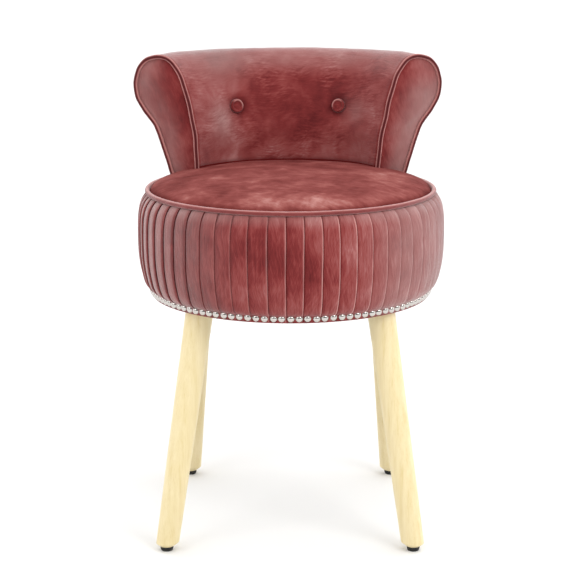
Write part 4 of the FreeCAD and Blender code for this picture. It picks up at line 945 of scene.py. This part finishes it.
# ------------------------------------------------------------------ covered buttons
def build_button(sgn, label):
    prof_ = [(0.0, 0.55), (2.0, 0.5), (3.8, 0.35), (5.0, 0.2), (6.0, 0.45), (7.0, 1.15), (7.9, 1.35), (8.7, 0.95), (9.3, 0.05), (9.55, -1.2), (9.4, -2.7), (8.8, -4.0), (7.6, -5.0)]
    pr = catmull(prof_, 26)
    na = 56
    th = np.linspace(0, 2 * math.pi, na, endpoint=False)
    a = math.pi / 2 + TURN + sgn * BUTTON_PHI
    axis = np.array([-math.cos(a), -math.sin(a), 0.19])
    axis /= np.linalg.norm(axis)
    side = np.cross([0, 0, 1], axis)
    side /= np.linalg.norm(side)
    up = np.cross(axis, side)
    base = np.array([0.1452 * math.cos(a), AY + 0.1452 * math.sin(a), BUTTON_Z])
    T, K = np.meshgrid(th, np.arange(1, 26), indexing="ij")
    rr = pr[K, 0] * (1 + 0.012 * gnoise(np.cos(T) * 3, np.sin(T) * 3, K * 0.2))
    hh = pr[K, 1] + 0.10 * gnoise(np.cos(T) * 4, np.sin(T) * 4, K * 0.3) * smooth(15, 24, K) + 0.05 * gnoise(rr * np.cos(T) * 0.5, rr * np.sin(T) * 0.5)
    P = base + (rr * np.cos(T))[..., None] / 1000 * side + (rr * np.sin(T))[..., None] / 1000 * up + hh[..., None] / 1000 * axis
    verts = np.vstack([P.reshape(-1, 3), [base + axis * pr[0, 1] / 1000]])
    uvp = np.stack([rr * np.cos(T), rr * np.sin(T)], -1) / 1000
    uvp = np.concatenate([uvp, uvp[:1]], 0)
    _, faces, uvs = grid(P, uvp, wrap_u=True, flip=True)
    uvs = list(uvs)
    c, m = len(verts) - 1, 25
    for i in range(na):
        j = (i + 1) % na
        faces.append([c, i * m, j * m])
        uvs.extend([(0, 0), tuple(uvp[i, 0]), tuple(uvp[i + 1, 0])])
    up_side = np.concatenate([np.sin(T).reshape(-1), [0]])
    rim = np.concatenate([rr.reshape(-1), [0]])
    tone = -0.55 + 0.3 * fbm(rim * up_side * 0.2, rim * 0.2, 3.0 * sgn, 2)
    # painted light on the button rim: a painted highlight on the side toward the light (lit), the outer face paler on
    # the side away from it, and painted shade in the hollow under the rim (deep)
    toward = math.radians(90 - 34 * sgn)
    lit = np.concatenate([np.cos(T - toward).reshape(-1), [0]])
    crest_highlight = 0.85 * smooth(-0.15, 0.75, lit) * np.exp(-((rim - 7.9) / 1.0) ** 2)
    tone = tone + 0.25 * smooth(0.2, 1.0, -lit) * smooth(3, 7, rim)
    deep = 0.40 * np.concatenate([smooth(0.8, 4.0, -hh).reshape(-1), [0]])
    make_object("covered_button_" + label, verts, faces, np.array(uvs), "velvet", ["back_button_" + label], M_BUTTON, inner=M_FOLD_SHADE,
                points={"tone": tone, "crest_highlight": np.clip(crest_highlight * (1 - deep), 0, 1), "crease_shade": deep})


build_button(1, "left")
build_button(-1, "right")


# ------------------------------------------------------------------ dome nails
def build_nails():
    count, rings, seg = 108, 9, 28
    h, rh, face = 3.3, 4.95, 183.1
    verts, faces = [], []
    for i in range(count):
        a = -math.pi / 2 + 2 * math.pi * i / count + np.radians(0.10) * RNG.normal()
        z0 = 314.35 + 0.14 * RNG.normal()
        tilt_a, tilt_z = 0.03 * RNG.normal(), 0.03 * RNG.normal() - 0.13
        size = 1 + 0.008 * RNG.normal()
        out = np.array([math.cos(a), math.sin(a), tilt_z])
        out = out + tilt_a * np.array([-math.sin(a), math.cos(a), 0])
        out /= np.linalg.norm(out)
        side = np.cross([0, 0, 1], out)
        side /= np.linalg.norm(side)
        up = np.cross(out, side)
        c = np.array([face * math.cos(a), AY * 1000 + face * math.sin(a), z0])
        start = len(verts)
        # rolled rim, then the dome
        sect = [(rh - 0.75, -0.55), (rh - 0.25, -0.55), (rh - 0.02, -0.30), (rh, 0.0)]
        rad = (rh * rh + h * h) / (2 * h)
        full = math.asin(rh / rad)
        sect += [(rad * math.sin(full * (1 - q / rings)), h - rad + rad * math.cos(full * (1 - q / rings))) for q in range(1, rings)]
        for rr, hh in sect:
            for k in range(seg):
                b = 2 * math.pi * k / seg
                verts.append(c + size * (rr * math.cos(b) * side + rr * math.sin(b) * up + hh * out))
        verts.append(c + size * h * out)
        for q in range(len(sect) - 1):
            for k in range(seg):
                m = (k + 1) % seg
                faces.append([start + q * seg + k, start + q * seg + m, start + (q + 1) * seg + m, start + (q + 1) * seg + k])
        top, q = len(verts) - 1, len(sect) - 1
        for k in range(seg):
            faces.append([start + q * seg + k, start + q * seg + (k + 1) % seg, top])
    make_object("dome_nails", np.array(verts) / 1000, faces, None, "nickel", ["nailhead_trim"], M_NAIL)


build_nails()

# ------------------------------------------------------------------ dust cover
na, nr = 220, 46
th = np.linspace(0, 2 * math.pi, na, endpoint=False)
T, K = np.meshgrid(th, np.arange(1, nr + 1), indexing="ij")
r = 173.0 * K / nr
x, y = r * np.cos(T), r * np.sin(T)
z = 309.55 + 0.22 * fbm(x * 0.02, y * 0.02, 2.0, 2) + 0.12 * gnoise(np.cos(T) * 26, np.sin(T) * 26, r * 0.01) * smooth(120, 165, r) * (1 - smooth(168, 173, r))
P = polar(r / 1000, T, z / 1000)
verts = np.vstack([P.reshape(-1, 3), [[0, AY, float(np.mean(P[:, 0, 2]))]]])
uvp = np.stack([P[..., 0], P[..., 1]], -1)
uvp = np.concatenate([uvp, uvp[:1]], 0)
_, faces, uvs = grid(P, uvp, wrap_u=True)
uvs = list(uvs)
for i in range(na):
    j = (i + 1) % na
    faces.append([len(verts) - 1, j * nr, i * nr])
    uvs.extend([(0, AY), tuple(uvp[i + 1, 0]), tuple(uvp[i, 0])])
dust = make_object("dust_cover_cloth", verts, faces, np.array(uvs), "nonwoven", ["dust_cover"], M_DUST)

# ------------------------------------------------------------------ floor, light, camera
t = Nodes("studio_floor")
p = t.add("ShaderNodeBsdfPrincipled", {"Base Color": (0.86, 0.86, 0.86, 1), "Roughness": 0.9, "Specular IOR Level": 0.1})
FLOOR = t.out(p.outputs[0])
me = bpy.data.meshes.new("studio_floor")
me.from_pydata([(-30, -30, 0), (30, -30, 0), (30, 30, 0), (-30, 30, 0)], [], [(0, 1, 2, 3)])
me.materials.append(FLOOR)
floor = bpy.data.objects.new("studio_floor", me)
bpy.context.scene.collection.objects.link(floor)

world = bpy.data.worlds.new("studio")
bpy.context.scene.world = world
world.use_nodes = True
wt = world.node_tree
bg = wt.nodes["Background"]
where = wt.nodes.new("ShaderNodeTexCoord")
part_ = wt.nodes.new("ShaderNodeSeparateXYZ")
wt.links.new(where.outputs["Generated"], part_.inputs[0])
fall = wt.nodes.new("ShaderNodeMapRange")
fall.inputs["From Min"].default_value = 0.05
fall.inputs["From Max"].default_value = 0.95
fall.inputs["To Min"].default_value = 1.78
fall.inputs["To Max"].default_value = 1.32
wt.links.new(part_.outputs["Z"], fall.inputs["Value"])
lean_ = wt.nodes.new("ShaderNodeMath")
lean_.operation = "MULTIPLY_ADD"
lean_.inputs[1].default_value = 0.16
wt.links.new(part_.outputs["X"], lean_.inputs[0])
wt.links.new(fall.outputs[0], lean_.inputs[2])



def step_(source, a, b, lo=0.0, hi=1.0):
    n = wt.nodes.new("ShaderNodeMapRange")
    n.interpolation_type = "SMOOTHSTEP"
    n.inputs["From Min"].default_value, n.inputs["From Max"].default_value = a, b
    n.inputs["To Min"].default_value, n.inputs["To Max"].default_value = lo, hi
    wt.links.new(source, n.inputs["Value"])
    return n.outputs[0]


def times_(a, b):
    n = wt.nodes.new("ShaderNodeMath")
    n.operation = "MULTIPLY"
    wt.links.new(a, n.inputs[0])
    wt.links.new(b, n.inputs[1])
    return n.outputs[0]


# the open, unlit side of the studio in front of the stool, which bright metal mirrors as a dark band
band_ = times_(step_(part_.outputs["Z"], -0.01, 0.05), step_(part_.outputs["Z"], 0.46, 0.60, 1.0, 0.0))
band_ = times_(band_, step_(part_.outputs["Y"], 0.15, -0.35))
dark_ = step_(band_, 0.0, 1.0, 1.0, 0.10)
wt.links.new(times_(lean_.outputs[0], dark_), bg.inputs[1])
bg.inputs[0].default_value = (1, 1, 1, 1)


def area(name, loc, target, size, power, size_y=None):
    li = bpy.data.lights.new(name, "AREA")
    li.energy = power
    li.size = size
    if size_y:
        li.shape = "RECTANGLE"
        li.size_y = size_y
    ob = bpy.data.objects.new(name, li)
    ob.location = loc
    ob.rotation_euler = (Vector(target) - Vector(loc)).to_track_quat("-Z", "Y").to_euler()
    bpy.context.scene.collection.objects.link(ob)
    return ob


area("key", (1.5, -1.7, 1.9), (0, 0, 0.4), 1.3, 23)
area("fill", (-1.7, -1.6, 1.3), (0, 0, 0.4), 1.2, 10)

cam_data = bpy.data.cameras.new("photo_camera")
cam_data.lens = 101.6
cam_data.sensor_width = 36
cam_data.shift_x = -0.0045
cam_data.clip_end = 100
cam = bpy.data.objects.new("photo_camera", cam_data)
cam.location = (0, AY - 2.1000, 0.7956)
cam.rotation_euler = (math.pi / 2 - 0.226888, 0, 0)
bpy.context.scene.collection.objects.link(cam)
bpy.context.scene.camera = cam
bpy.context.scene.view_settings.view_transform = "Standard"
bpy.context.scene.view_settings.look = "None"
